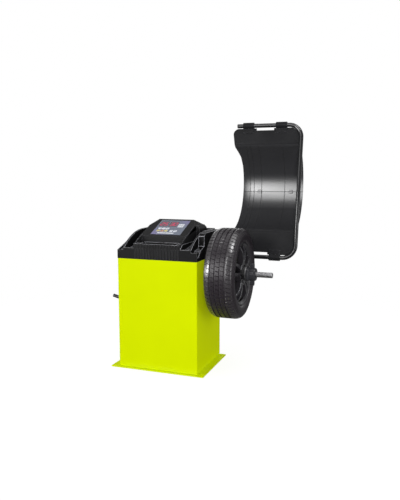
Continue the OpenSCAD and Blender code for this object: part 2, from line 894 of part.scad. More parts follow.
// The crowned outline of a pulley with end flanges
module pulley(r, bore, z) {
    rim = r + belt_t + pulley_lip;
    foot = pulley_lip + pulley_lip_slope;
    axis_x(0, z) rotate_extrude() polygon([[bore, pulley_x0], [rim, pulley_x0], [rim, pulley_x0 + pulley_lip],
        [r, pulley_x0 + foot], [r, pulley_x1 - foot], [rim, pulley_x1 - pulley_lip], [rim, pulley_x1],
        [bore, pulley_x1]]);
}

module driven_pulley() color("#8b8e92") pulley(pulley_r, tail_r + run, spindle_z);
module motor_pulley() color("#8b8e92") pulley(motor_pulley_r, motor_shaft_r + run, motor_z);
module motor_shaft() color("#a5a8ab")
    rod_x(0, motor_z, motor_shaft_r, pulley_x0 - belt_inset, motor_x0 + rotor_in);

// Corners of a loop round both pulleys, arc by arc, with straight runs between them
function loop_points(r1, r2) = concat(
    [for (i = [0 : belt_steps])
        polar([0, spindle_z], r1, -belt_lean + (180 + 2 * belt_lean) * i / belt_steps)],
    [for (i = [0 : belt_steps])
        polar([0, motor_z], r2, 180 + belt_lean + (180 - 2 * belt_lean) * i / belt_steps)]);

module drive_belt() color("#1c1c1d") along_x(pulley_x0 + belt_inset, pulley_x1 - belt_inset) difference() {
    polygon(loop_points(belt_in + belt_t, motor_belt_in + belt_t));
    polygon(loop_points(belt_in, motor_belt_in));
}

module encoder_disc() color("#77797c") difference() {
    rod_x(0, spindle_z, encoder_r, encoder_x0, encoder_x0 + encoder_t);
    rod_x(0, spindle_z, tail_r + run, encoder_x0 - cut, encoder_x0 + encoder_t + cut);
    for (i = [0 : encoder_slots - 1]) axis_x(0, spindle_z) rotate(i * 360 / encoder_slots)
        translate([encoder_r - encoder_edge - encoder_slot_l, -encoder_slot_w / 2, encoder_x0 - cut])
            cube([encoder_slot_l, encoder_slot_w, encoder_t + 2 * cut]);
}

// An optical fork over the disc's edge, on an arm that is seated on the spindle housing
module encoder_sensor() color("#26282b") difference() {
    union() {
        block([encoder_x0 - fork_out, encoder_r - fork_lap, spindle_z - fork_half],
            [encoder_x0 + fork_in, fork_arm_y + fork_arm_t, spindle_z + fork_half]);
        block([encoder_x0 - fork_out, fork_arm_y, spindle_z - fork_half],
            [housing_x0 + fork_lap, fork_arm_y + fork_arm_t, spindle_z + fork_half]);
        block([housing_x0 + fork_pad, housing_r - web_lap, spindle_z - fork_half],
            [housing_x0 + fork_lap, fork_arm_y + fork_arm_t, spindle_z + fork_half]);
    }
    block([encoder_x0 - fork_gap, encoder_r - fork_lap - cut, spindle_z - 2 * fork_half],
        [encoder_x0 + encoder_t + fork_gap, encoder_r + fork_gap, spindle_z + 2 * fork_half]);
    rod_x(0, spindle_z, housing_r + run, housing_x0, housing_x1);
}

module power_board() color("#2c6b3f") translate([-cab_x + sheet, supply_y, supply_z]) {
    for (y = [supply_inset, supply_l - supply_inset], z = [supply_inset, supply_h - supply_inset])
        translate([0, y, z]) rotate([0, 90, 0]) cylinder(r = post_r, h = supply_gap + seat);
    block([supply_gap, 0, 0], [supply_gap + supply_t, supply_l, supply_h]);
    translate([supply_gap + supply_t - cut, 0, 0]) {
        translate([0, coil_y, coil_z]) cube([coil_h, coil_w, coil_w]);
        for (i = [0 : can_count - 1]) translate([0, can_y + can_pitch * i, can_z]) rotate([0, 90, 0])
            cylinder(r = can_r, h = can_h);
        translate([0, sink_y, sink_z]) cube([sink_h, coil_w, sink_t]);
    }
}

// A body let into the back wall with a rim that lies on it
module wall_socket(w, h, rim) {
    block([-w / 2, cab_y - socket_depth, -h / 2], [w / 2, cab_y, h / 2]);
    block([-w / 2 - rim, cab_y, -h / 2 - rim], [w / 2 + rim, cab_y + socket_rim_t, h / 2 + rim]);
}

module power_inlet() color("#1d1d1f") translate([inlet_x, 0, inlet_z]) difference() {
    wall_socket(inlet_w, inlet_h, inlet_rim);
    block([-inlet_w / 2 + socket_wall, cab_y - plug_depth, -inlet_h / 2 + socket_wall],
        [inlet_w / 2 - socket_wall, cab_y + socket_rim_t + cut, inlet_h / 2 - socket_wall]);
}

// Two blind bores hold the rocker's pins
module switch_frame() color("#1d1d1f") translate([switch_x, 0, inlet_z]) difference() {
    wall_socket(switch_w, switch_h, switch_rim);
    block([-rocker_w / 2 - loose, cab_y - rocker_depth, -rocker_h / 2 - loose],
        [rocker_w / 2 + loose, cab_y + socket_rim_t + cut, rocker_h / 2 + loose]);
    rod_x(cab_y, 0, rocker_pin_r + run, -rocker_w / 2 - rocker_pin_l - loose,
        rocker_w / 2 + rocker_pin_l + loose);
}

// The rocker rests tipped to its off side and turns on two short pins
module power_rocker() color("#b3191c") translate([switch_x, cab_y, inlet_z]) rotate([rocker_tilt, 0, 0]) {
    edge = rocker_h / 2 - rocker_dip;
    root = rocker_h / 2 - rocker_root_in;
    along_x(-rocker_w / 2, rocker_w / 2) intersection() {
        polygon([[-rocker_root, -root], [cut, -edge], [rocker_proud, -edge], [rocker_proud - rocker_dip, 0],
            [rocker_proud, edge], [cut, edge], [-rocker_root, root]]);
        circle(rocker_h / 2 - seat);
    }
    rod_x(0, 0, rocker_pin_r, -rocker_w / 2 - rocker_pin_l, rocker_w / 2 + rocker_pin_l);
}

// Wheel

module tyre() color("#202022") difference() {
    spun() difference() {
        union() {
            rect([rim_r + bead_gap, wheel_x - bulge_off], [tyre_r - crown_drop, wheel_x + bulge_off]);
            rect([tyre_r - 2 * shoulder_r, wheel_x - shoulder_off], [tyre_r, wheel_x + shoulder_off]);
            for (s = [-1, 1]) {
                translate([bulge_axis_r, wheel_x + s * bulge_off]) circle(bulge_r);
                translate([tyre_r - shoulder_r, wheel_x + s * shoulder_off]) circle(shoulder_r);
                rect([rim_r + seat, wheel_x + s * (half_rim - bead_w / 2) - bead_w / 2 + seat],
                    [rim_r + rim_lip, wheel_x + s * (half_rim - bead_w / 2) + bead_w / 2 - seat]);
            }
        }
        for (s = [-1, 1]) {
            translate([bulge_axis_r, wheel_x + s * bulge_off]) circle(bulge_r - rubber_t);
            rect([0, s > 0 ? wheel_x + half_rim - seat : 0],
                [lip_r + loose, s > 0 ? wheel_x + 2 * half_rim : wheel_x - half_rim + seat]);
        }
        rect([0, wheel_x - half_rim + bead_w],
            [bulge_axis_r + bulge_r - rubber_t, wheel_x + half_rim - bead_w]);
        rect([0, 0], [rim_r + seat, 2 * wheel_x]);
        for (g = groove_x) rect([tyre_r - groove_depth, wheel_x + g - groove_w / 2],
            [tyre_r + cut, wheel_x + g + groove_w / 2]);
    }
}

// Half section of the rim barrel with its flanges, bead seats and drop well
module barrel_section() {
    back = wheel_x - half_rim;
    front = wheel_x + half_rim;
    well_r = rim_r - well_depth;
    inner_r = rim_r - barrel_t;
    polygon([[lip_r - lip_face, back - lip_t], [lip_r - lip_round, back - lip_t],
        [lip_r, back - lip_t + lip_bevel], [lip_r - seat_taper, back - lip_bevel], [rim_r, back],
        [rim_r - seat_taper, back + well_back_seat], [well_r, back + well_back],
        [well_r, wheel_x - well_front], [rim_r - seat_taper, wheel_x - well_front + well_rise],
        [rim_r, front], [lip_r - seat_taper, front + lip_bevel], [lip_r, front + lip_t - lip_bevel],
        [lip_r - lip_round, front + lip_t], [lip_r - lip_face, front + lip_t], [inner_r, front - chamfer],
        [inner_r - seat_taper, wheel_x - well_front + well_rise + chamfer],
        [well_r - barrel_t, wheel_x - well_front + lip_bevel],
        [well_r - barrel_t, back + well_back - lip_bevel], [inner_r, back + well_back_seat - chamfer],
        [inner_r, back + lip_round]]);
}

// Crowned section that the spokes and the hub are cut from
module spoke_section() {
    foot_r = rim_r - barrel_t + seat_taper;
    back = seat_x + spoke_back;
    polygon([[0, back], [hub_r, back - lip_round], [foot_r, back], [foot_r, wheel_x + half_rim + lip_round],
        [rim_r - crown_in, hub_x1 + crown_out - lip_round], [hub_r + crown_in - lip_face, hub_x1 + crown_out],
        [hub_r - crown_dish, hub_x1 + crown_out / 2], [hub_r - crown_floor, hub_x1], [0, hub_x1]]);
}

module wheel_rim() color("#2b2b2e") difference() {
    union() {
        spun() barrel_section();
        intersection() {
            spun() spoke_section();
            axis_x(0, spindle_z) translate([0, 0, seat_x]) linear_extrude(2 * hub_t) {
                for (i = [0 : spoke_pairs - 1], s = [-1, 1])
                    rotate((i + 0.5) * 360 / spoke_pairs + s * spoke_split / 2)
                        polygon([[spoke_root_r, -spoke_w / 2], [rim_r, -spoke_w / 3],
                            [rim_r, spoke_w / 3], [spoke_root_r, spoke_w / 2]]);
                circle(hub_r);
            }
        }
        spun() rect([0, seat_x], [hub_r, seat_x + hub_pad_t]);
    }
    spun() rect([0, seat_x - cut], [bore_r, hub_x1 + 2 * hub_t]);
    for (i = [0 : lug_count - 1]) axis_x(0, spindle_z) rotate(i * 360 / lug_count)
        translate([lug_circle_r, 0, seat_x]) {
            translate([0, 0, -cut]) cylinder(r = lug_r, h = 2 * hub_t);
            translate([0, 0, hub_pad_t]) cylinder(r = lug_head_r, h = 2 * hub_t);
        }
    valve_axis() translate([0, 0, -valve_in]) cylinder(r = valve_r + seat, h = 2 * valve_in);
}

// The valve leaves the barrel between two pairs of spokes
module valve_axis() axis_x(0, spindle_z) translate([rim_r - barrel_t, 0, wheel_x + half_rim - valve_in])
    rotate([0, -90 + valve_tilt, 0]) children();

module tyre_valve() color("#1b1b1c") valve_axis() {
    translate([0, 0, -valve_foot]) cylinder(r = valve_r, h = valve_base);
    translate([0, 0, valve_base / 2]) cylinder(r = valve_r - valve_neck, h = valve_l - valve_base / 2);
}

module centring_cone() color("#5e6165") spun() polygon([[shaft_r + run, cone_tip_x], [cone_r1, cone_tip_x],
    [cone_r2, cone_tip_x + cone_l], [cone_r2, cone_x1], [shaft_r + run, cone_x1]]);

module quick_nut() color("#232325") difference() {
    union() {
        spun() polygon([[0, nut_x0], [nut_r + nut_lip, nut_x0], [nut_r + nut_lip, nut_x0 + nut_lip_t],
            [nut_r, nut_x0 + nut_lip_t + nut_lip], [nut_r, nut_x1 - 2 * chamfer],
            [nut_r - chamfer, nut_x1], [0, nut_x1]]);
        axis_x(0, spindle_z) translate([0, 0, nut_x0 + wing_in]) linear_extrude(wing_t)
            for (a = [0, 180]) rotate(a) {
                rect([nut_r / 2, -wing_w / 2], [wing_r - wing_w / 2, wing_w / 2]);
                translate([wing_r - wing_w / 2, 0]) circle(wing_w / 2);
            }
    }
    rod_x(0, spindle_z, shaft_r + run, nut_x0 - cut, nut_x1 + cut);
}

// Weight tray and console

// Height of the lane floors at a place along Y
function lane_floor(y) = lane_z0 + (y - lane_y0) * lane_slope;

// Side outline of the tall middle part, with the dividers' curved rise
module divider_outline() {
    rect([tray_y0, cab_top], [tray_y1, outer_lip_z]);
    rect([divider_arc_y, cab_top], [tray_y1, tray_back_z]);
    intersection() {
        translate([divider_arc_y, tray_back_z - divider_arc_r]) circle(divider_arc_r, $fn = 180);
        rect([tray_y0, cab_top], [divider_arc_y + cut, tray_back_z]);
    }
}

// Side outline of the left outer wall
module left_outline() polygon([[tray_y0, cab_top], [tray_y0, outer_lip_z],
    [left_rise_y, outer_lip_z + left_rise], [left_top_y, outer_lip_z + left_top],
    [tray_y1, outer_lip_z + left_back], [tray_y1, cab_top]]);

// Side outline of the right outer wall: a finger scoop, then the gauge pod
module right_outline() polygon([[tray_y0, cab_top], [tray_y0, outer_lip_z], [lane_y0, outer_lip_z],
    [lane_y0 + scoop_y, outer_lip_z - scoop_depth], [lane_y0 + scoop_y + scoop_l, outer_lip_z - scoop_floor],
    [scoop_end_y, outer_lip_z + scoop_end], [pod_y0 - pod_lean, outer_lip_z + pod_foot],
    [pod_y0, pod_z - pod_round], [pod_y0 + pod_round, pod_z],
    [tray_y1 - 2 * pod_round, pod_z], [tray_y1, pod_z - pod_round], [tray_y1, cab_top]]);

// Space over a ribbed lane floor
module lane_space(front, y1) difference() {
    polygon([[lane_y0, lane_floor(lane_y0)], [y1, lane_floor(y1)], [y1, tray_back_z + cut],
        [tray_y0 - cut, tray_back_z + cut], [tray_y0 - cut, front], [lane_y0, front]]);
    for (y = [lane_y0 + lane_rib_pitch : lane_rib_pitch : y1 - lane_rib_pitch / 2])
        polygon([[y, lane_floor(y) - cut], [y + tray_rib_t, lane_floor(y) - cut],
            [y + tray_rib_t, lane_floor(y) + lane_rib_h], [y, lane_floor(y) + lane_rib_h]]);
}

module weight_tray() color("#262628") difference() {
    union() {
        along_x(-divider_x, divider_x) divider_outline();
        along_x(-cab_x, -divider_x + cut) left_outline();
        along_x(divider_x - cut, cab_x) right_outline();
        for (x = [-front_rib_half : front_rib_pitch : front_rib_half])
            block([x - front_rib_t / 2, tray_y0 - front_rib_h, cab_top + front_rib_inset],
                [x + front_rib_t / 2, tray_y0 + cut, shelf_z - front_rib_inset]);
    }
    block([-inner_x0, tray_y0 - cut, shelf_z], [inner_x0, lane_y1, tray_back_z + cut]);
    along_x(inner_x0 - cut, inner_x1) lane_space(inner_lip_z, shoulder_y0);
    along_x(-inner_x1, -inner_x0 + cut) lane_space(inner_lip_z, shoulder_y0);
    block([-inner_x1, shoulder_y0 - cut, shelf_z], [inner_x1, lane_y1, tray_back_z + cut]);
    along_x(-outer_x1, -outer_x0) lane_space(outer_lip_z, lane_y1);
    along_x(outer_x0, outer_x1) lane_space(outer_lip_z, pod_y0 - tray_t);
    block([-pocket_half, pocket_y0, shelf_z - pocket_depth], [pocket_half, pocket_y1, shelf_z + cut]);
    // The moulding is hollow from below
    along_x(-shelf_half + tray_t, shelf_half - tray_t) {
        rect([tray_y0 + tray_t, cab_top - cut], [tray_y1 - tray_t, shelf_z - pocket_depth - tray_t]);
        rect([pocket_y1 + tray_t, cab_top - cut], [tray_y1 - tray_t, shelf_z - tray_t]);
    }
    along_x(-cab_x + tray_t, cab_x - tray_t) polygon([[tray_y0 + tray_t, cab_top - cut],
        [tray_y1 - tray_t, cab_top - cut], [tray_y1 - tray_t, shelf_z - tray_t],
        [shoulder_y0 + tray_t, shelf_z - tray_t], [lane_y0, lane_z0 - tray_t],
        [tray_y0 + tray_t, lane_z0 - tray_t]]);
    block([divider_x, pod_y0 + tray_t, cab_top],
        [cab_x - tray_t, tray_y1 - tray_t, pod_z - pod_round - tray_t]);
    rod_x(gauge_y, gauge_z, guide_r + seat, cab_x - tray_t - cut, cab_x + cut);
}

// Side outline of the console, set in by a wall thickness
module console_outline(o) polygon([[console_front + o, shelf_z + (o > 0 ? -cut : 0)],
    [console_front + o, face_z0 - face_sill - o],
    [face_y0 - face_sill_y + o, face_z0 - face_sink - slope_wall * o],
    [console_top_y, console_top_z - slope_wall * o],
    [console_top_y + brow_y - o, console_top_z - brow_drop - o],
    [console_back - o, shoulder_z - o], [console_back - o, shelf_z + (o > 0 ? -cut : 0)]]);

// Front outline of the console, set in by a wall thickness
module console_front_outline(o) polygon([[-console_half + o, shelf_z - cut],
    [console_half - o, shelf_z - cut], [console_half - o, console_top_z - console_cham - o],
    [console_half - console_cham - o, console_top_z - o],
    [-console_half + console_cham + o, console_top_z - o],
    [-console_half + o, console_top_z - console_cham - o]]);

// Front outline of the shoulders, set in by a wall thickness
module shoulder_outline(o) {
    edge = shoulder_half - o;
    top = shoulder_z - o;
    low = shelf_z - (o > 0 ? cut : 0);
    polygon([[-edge, low], [edge, low], [edge, top - shoulder_cham], [edge - shoulder_cham, top],
        [-edge + shoulder_cham, top], [-edge, top - shoulder_cham]]);
}

module console_housing() color("#2a2a2c") difference() {
    union() {
        intersection() {
            along_x(-console_half, console_half) console_outline(0);
            along_y(console_front, console_back) console_front_outline(0);
        }
        // Shoulders that close the lanes behind the panel
        along_y(shoulder_y0, console_back) shoulder_outline(0);
        // Cheeks beside the sunken pocket
        for (x = [-console_half, console_half - cheek_t]) along_x(x, x + cheek_t)
            polygon([[cheek_y0, shelf_z], [cheek_y0 + cheek_nose_y, shelf_z + cheek_nose],
                [console_front + cheek_lap, face_z0], [console_front + cheek_lap, shelf_z]]);
    }
    intersection() {
        along_x(-console_half, console_half) console_outline(console_wall);
        along_y(console_front, console_back) console_front_outline(console_wall);
    }
    along_y(shoulder_y0 + console_wall, console_back - console_wall) shoulder_outline(console_wall);
    on_panel() translate([-face_w / 2 - seat, -seat, -face_t])
        cube([face_w + 2 * seat, face_l + 2 * seat, face_cut]);
    on_panel() translate([-face_w / 2 + face_ledge, face_ledge, -face_cut / 2])
        cube([face_w - 2 * face_ledge, face_l - 2 * face_ledge, face_cut]);
}

module control_panel() color("#6d7690") on_panel() {
    difference() {
        translate([-face_w / 2, 0, -face_t]) cube([face_w, face_l, face_t]);
        for (u = display_u) translate([u - display_w / 2, display_v - display_h / 2, -face_t - cut])
            cube([display_w, display_h, face_t + 2 * cut]);
        for (k = key_at) translate([k[0] - key_w / 2 - loose, k[1] - key_h / 2 - loose, -face_t - cut])
            cube([key_w + 2 * loose, key_h + 2 * loose, face_t + 2 * cut]);
    }
    for (x = [-1, 1], y = [post_v, face_l - post_v])
        translate([x * (face_w / 2 - post_u), y, -face_t - board_gap])
            cylinder(r = post_r, h = board_gap + cut);
}

module display_lenses() color("#7a1420") on_panel() for (u = display_u)
    translate([u - display_w / 2 + seat, display_v - display_h / 2 + seat, -face_t])
        cube([display_w - 2 * seat, display_h - 2 * seat, face_t - lens_sink]);

module control_board() color("#2c6b3f") on_panel() {
    translate([-face_w / 2 + board_inset, board_inset, -face_t - board_gap - board_t])
        cube([face_w - 2 * board_inset, face_l - 2 * board_inset, board_t]);
    for (u = display_u) translate([u - display_w / 2 + digit_inset, display_v - display_h / 2 + digit_inset,
            -face_t - board_gap - cut])
        cube([display_w - 2 * digit_inset, display_h - 2 * digit_inset, board_gap + cut]);
}

// A key: a cap through the panel and a foot that keeps it in
module panel_key(i, tint) color(tint) on_panel() translate([key_at[i][0], key_at[i][1], 0]) {
    translate([-key_w / 2, -key_h / 2, -face_t - loose - cut])
        cube([key_w, key_h, face_t + loose + cut + key_cap]);
    translate([-key_w / 2 - key_lip, -key_h / 2 - key_lip, -face_t - loose - key_foot])
        cube([key_w + 2 * key_lip, key_h + 2 * key_lip, key_foot]);
}

// Hood

// One quarter turn of the tube, from the +X direction towards +Z or -Z
module tube_corner(r, u, s) translate([tube_x - tube_bend, 0, u - s * tube_bend]) rotate([90, 0, 0])
    mirror([0, s > 0 ? 0 : 1, 0]) rotate_extrude(angle = 90) translate([tube_bend, 0]) circle(r);

module tube_line(r, e) {
    rod_x(0, hood_l, r, bar_end_x - e, tube_x - tube_bend);
    tube_corner(r, hood_l, 1);
    translate([tube_x, 0, tube_bend]) cylinder(r = r, h = hood_l - 2 * tube_bend);
    tube_corner(r, 0, -1);
    rod_x(0, 0, r, tube_tail_x - e, tube_x - tube_bend);
}

module hood_tube() color("#2a2a2c") in_hood() difference() {
    tube_line(tube_r, 0);
    tube_line(tube_r - tube_wall, cut);
}

module tube_plug() color("#1b1b1c") in_hood() {
    rod_x(0, hood_l, tube_r, bar_end_x - plug_head, bar_end_x);
    rod_x(0, hood_l, tube_r - tube_wall - seat, bar_end_x - cut, bar_end_x + plug_in);
}

// Wedge of the (v, u) plane seen from a corner, between two directions
module wedge(c, a0, a1, r) translate(c) polygon([[0, 0], r * [cos(a0), sin(a0)],
    r * [cos((a0 + a1) / 2), sin((a0 + a1) / 2)], r * [cos(a1), sin(a1)]]);

// A flat wing, up to its outer edge, and the bend that runs into the arch
module wing_section(s, edge) {
    c = [fillet_v, arch_mid + s * fillet_u];
    turn = [for (i = [0 : bend_steps]) 180 + s * fillet_angle * i / bend_steps];
    points = concat([[0, edge]],
        [for (a = turn) polar(c, arch_fillet + shell_t, a)],
        [polar([arch_v, arch_mid], arch_r + shell_t / 2, s * (fillet_angle - bend_lap))],
        [for (i = [bend_steps : -1 : 0]) polar(c, arch_fillet, turn[i])], [[shell_t, edge]]);
    polygon(s > 0 ? points : [for (i = [len(points) - 1 : -1 : 0]) points[i]]);
}

// Section of the hood: a flat wing, a bend, the arch, a bend and a flat wing
module hood_section() {
    intersection() {
        translate([arch_v, arch_mid]) difference() {
            circle(arch_r + shell_t, $fn = 180);
            circle(arch_r, $fn = 180);
        }
        wedge([arch_v, arch_mid], -fillet_angle - bend_over, fillet_angle + bend_over, 3 * arch_r);
    }
    wing_section(1, wing_top);
    wing_section(-1, wing_low);
}

// Outline of both shells seen along v: lobes, round corners and hand slots
module hood_outline() difference() {
    union() {
        translate([(shell_x0 + shell_x1) / 2, (wing_low + wing_top) / 2])
            round_rect(shell_x1 - shell_x0, wing_top - wing_low, shell_corner);
        rect([shell_x0, arch_mid], [shell_x0 + 2 * shell_corner, wing_top - lobe_corner]);
        translate([lobe_x0 + lobe_corner, wing_top - lobe_corner]) circle(lobe_corner);
        rect([lobe_x0 + lobe_corner, wing_top - 2 * lobe_corner], [shell_x0 + 2 * shell_corner, wing_top]);
        polygon([[lobe_x0, wing_top - lobe_corner], [lobe_x0 + lobe_lean, arch_mid + arch_half - lobe_low],
            [shell_x0 - lobe_out, arch_mid + arch_half - lobe_foot],
            [shell_x0, arch_mid + arch_half - lobe_end], [shell_x0 + cut, wing_top - lobe_corner]]);
    }
    rect([grip_x0, wing_top - grip_depth], [grip_x1, wing_top + cut]);
    rect([grip_x0, wing_low - cut], [grip_x1, wing_low + grip_depth]);
}

module hood_shell(u0, u1) in_hood() difference() {
    intersection() {
        along_x(lobe_x0 - cut, shell_x1 + cut) intersection() {
            hood_section();
            rect([-hood_l, u0], [hood_l, u1]);
        }
        along_y(-cut, arch_depth + shell_t + cut) hood_outline();
    }
    for (x = crease_x) along_x(x - crease_w / 2, x + crease_w / 2) translate([arch_v, arch_mid])
        circle(arch_r + crease_depth, $fn = 180);
    tube_line(tube_r + loose, 0);
}

module hood_upper_shell() color("#242426") hood_shell(arch_mid, hood_l);
module hood_lower_shell() color("#242426") hood_shell(0, arch_mid);

// A clip wraps the tube and lies on the front of the wing
module hood_clips() color("#1f1f21") in_hood() for (s = [-1, 1], x = clip_x) along_x(x, x + clip_w)
    translate([0, s > 0 ? hood_l : 0]) difference() {
        union() {
            circle(ring_r);
            rect([-clip_tab_t, s > 0 ? -wing_low - clip_tab : 0], [-seat, s > 0 ? 0 : wing_low + clip_tab]);
        }
        circle(tube_r + seat);
        rect([-seat, s > 0 ? -2 * ring_r : wing_low - seat],
            [shell_t + seat, s > 0 ? seat - wing_low : 2 * ring_r]);
    }

module seam_clips() color("#1f1f21") in_hood() for (x = seam_clip_x) intersection() {
    along_x(x, x + seam_clip_w) translate([arch_v, arch_mid]) difference() {
        circle(arch_r - seat, $fn = 180);
        circle(arch_r - seam_clip_t, $fn = 180);
    }
    block([x - cut, 0, arch_mid - seam_clip_h / 2],
        [x + seam_clip_w + cut, arch_depth, arch_mid + seam_clip_h / 2]);
}

// A clamped collar whose notch rides on the bracket's stop bar
module stop_collar() color("#3b3d40") in_hood()
    along_x(stop_collar_x0, stop_collar_x0 + stop_collar_w) difference() {
    circle(stop_collar_r);
    circle(tube_r + seat);
    difference() {
        wedge([0, 0], stop_from - hood_swing - stop_half, stop_from + stop_half, 2 * stop_collar_r);
        circle(stop_off - stop_r - stop_gap);
    }
}

module end_collar() color("#3b3d40") in_hood()
    along_x(end_collar_x1 - end_collar_w, end_collar_x1) difference() {
    circle(bush_flange_r);
    circle(tube_r + seat);
}

// The bracket on the cabinet's back: a plate, two ears and the stop bar
module hood_bracket() color("#2a2a2c") difference() {
    union() {
        block([bracket_x0, cab_y, bracket_z0], [bracket_x1, cab_y + bracket_t, bracket_z1]);
        for (x = ear_x) along_x(x, x + ear_t) {
            translate([pivot_y, pivot_z]) circle(ear_r);
            polygon([[cab_y + bracket_t - cut, bracket_z0],
                [pivot_y + ear_r * sin(ear_turn), pivot_z - ear_r * cos(ear_turn)],
                [pivot_y, pivot_z + ear_r], [cab_y + bracket_t - cut, bracket_z1]]);
        }
        translate([0, pivot_y, pivot_z]) rotate([-hood_lean, 0, 0])
            rod_x(0, -stop_off, stop_r, ear_x[0] + cut, ear_x[1] + cut);
    }
    for (x = ear_x) rod_x(pivot_y, pivot_z, bush_r + seat, x - cut, x + ear_t + cut);
    bracket_bolt_points() translate([0, 0, -cut])
        cylinder(r = bracket_bolt_r + seat, h = bracket_t + 2 * cut);
}

module hood_bushes() color("#b08d4a") for (i = [0, 1]) difference() {
    union() {
        rod_x(pivot_y, pivot_z, bush_r, ear_x[i] + (i == 0 ? 0 : ear_t - bush_l),
            ear_x[i] + (i == 0 ? bush_l : ear_t));
        rod_x(pivot_y, pivot_z, bush_flange_r, ear_x[i] + (i == 0 ? -bush_flange_t : ear_t),
            ear_x[i] + (i == 0 ? 0 : ear_t + bush_flange_t));
    }
    rod_x(pivot_y, pivot_z, tube_r + run, ear_x[i] - 2 * bush_l, ear_x[i] + 2 * bush_l);
}

module bracket_bolts() color("#7d8084") bracket_bolt_points() {
    translate([0, 0, -sheet - bracket_bolt_in])
        cylinder(r = bracket_bolt_r, h = sheet + bracket_t + bracket_bolt_in);
    translate([0, 0, bracket_t]) cylinder(r = head_r * bracket_bolt_r, h = head_t * bracket_bolt_r, $fn = 6);
}

// Distance gauge

module gauge_guide() color("#8b8e92") difference() {
    union() {
        rod_x(gauge_y, gauge_z, guide_r, cab_x - guide_l, cab_x);
        rod_x(gauge_y, gauge_z, guide_flange_r, cab_x, cab_x + guide_flange_t);
    }
    rod_x(gauge_y, gauge_z, gauge_r + run, cab_x - guide_l - cut, cab_x + guide_flange_t + cut);
}

module gauge_rod() color("#b9bcc0") {
    rod_x(gauge_y, gauge_z, gauge_r, gauge_x1 - gauge_l, gauge_x1);
    rod_x(gauge_y, gauge_z, gauge_r + rod_head, gauge_x1, gauge_x1 + rod_head_t);
}

// The arm turns on the rod's end and carries a feeler at its tip
module gauge_arm() color("#1f1f21") translate([0, gauge_y, gauge_z]) rotate([gauge_droop, 0, 0]) {
    along_x(arm_x0, arm_x0 + arm_t) difference() {
        union() {
            circle(arm_hub_r);
            translate([-gauge_reach, 0]) circle(arm_tip_r);
            polygon([[0, arm_hub_r], [0, -arm_hub_r], [-gauge_reach, -arm_tip_r], [-gauge_reach, arm_tip_r]]);
        }
        circle(gauge_r + run);
    }
    rod_x(-gauge_reach, 0, feeler_r, arm_x0 + arm_t - cut, arm_x0 + arm_t + feeler_l);
}

base_plate();
cabinet();
back_panel();
panel_screws();
weight_tray();
console_housing();
control_panel();
display_lenses();
control_board();
cone_pegs();
spindle_bench();
spindle_housing();
wheel_bearing();
tail_bearing();
bearing_cap();
force_sensors();
housing_bolts();
motor_cradle();
drive_motor();
drive_belt();
encoder_sensor();
power_board();
power_inlet();
switch_frame();
hood_bracket();
hood_bushes();
bracket_bolts();
gauge_guide();
main_shaft();
backing_flange();
driven_pulley();
encoder_disc();
wheel_rim();
tyre();
tyre_valve();
centring_cone();
quick_nut();
motor_shaft();
motor_pulley();
hood_tube();
hood_upper_shell();
hood_lower_shell();
hood_clips();
seam_clips();
tube_plug();
stop_collar();
end_collar();
power_rocker();
gauge_rod();
gauge_arm();
panel_key(0, "#e9e9ee");  // key_1
panel_key(1, "#e9e9ee");  // key_2
panel_key(2, "#e9e9ee");  // key_3
panel_key(3, "#e6dc55");  // key_4
panel_key(4, "#efa45c");  // key_5
panel_key(5, "#ecd27a");  // key_6
panel_key(6, "#dfe8f4");  // key_7
panel_key(7, "#dfe8f4");  // key_8
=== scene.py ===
# %% [markdown]
# # A wheel balancer on a pale studio floor
# The machine is a lime steel cabinet with a black tray and a sloping console on top, a wheel on a
# spindle at its right, and a black hood on a bent tube behind the wheel. The CAD frame gives every
# piece its place and its joint. This lesson gives each piece its surface, its small edges and the
# light that shows them. Where it can, a place is read from the CAD pieces and not typed again.

import json
import math

import bmesh
import bpy
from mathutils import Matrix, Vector


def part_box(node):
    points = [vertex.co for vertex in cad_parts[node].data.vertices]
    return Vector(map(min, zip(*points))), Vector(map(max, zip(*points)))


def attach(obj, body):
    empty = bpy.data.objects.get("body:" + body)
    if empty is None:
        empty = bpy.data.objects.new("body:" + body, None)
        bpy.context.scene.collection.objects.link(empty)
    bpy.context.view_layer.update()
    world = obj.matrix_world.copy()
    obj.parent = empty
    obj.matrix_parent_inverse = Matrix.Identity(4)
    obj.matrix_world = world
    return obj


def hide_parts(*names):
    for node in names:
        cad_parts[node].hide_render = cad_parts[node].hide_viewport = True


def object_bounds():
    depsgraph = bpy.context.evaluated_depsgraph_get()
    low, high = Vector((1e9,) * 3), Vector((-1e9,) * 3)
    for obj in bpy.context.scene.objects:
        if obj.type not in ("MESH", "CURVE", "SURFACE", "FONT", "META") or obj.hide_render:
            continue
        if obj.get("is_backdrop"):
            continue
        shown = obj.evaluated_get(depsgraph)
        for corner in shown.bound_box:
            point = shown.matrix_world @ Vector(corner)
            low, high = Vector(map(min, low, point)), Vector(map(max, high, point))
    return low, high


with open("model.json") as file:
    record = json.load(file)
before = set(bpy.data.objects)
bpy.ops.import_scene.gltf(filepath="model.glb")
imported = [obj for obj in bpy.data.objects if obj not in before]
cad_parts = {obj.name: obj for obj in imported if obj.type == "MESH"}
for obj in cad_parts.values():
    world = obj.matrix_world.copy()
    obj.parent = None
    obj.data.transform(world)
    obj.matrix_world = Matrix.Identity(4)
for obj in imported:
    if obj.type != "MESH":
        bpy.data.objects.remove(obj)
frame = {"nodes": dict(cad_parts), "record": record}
CAD_LOW, CAD_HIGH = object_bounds()
MM = 0.001


def corners(node):
    """The lowest and the highest corner of a CAD piece, to a tenth of a millimetre."""
    return [[round(value, 4) for value in corner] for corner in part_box(node)]


def middle(node):
    """The middle of a CAD piece's box, to a tenth of a millimetre."""
    return [round((low + high) / 2, 4) for low, high in zip(*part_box(node))]


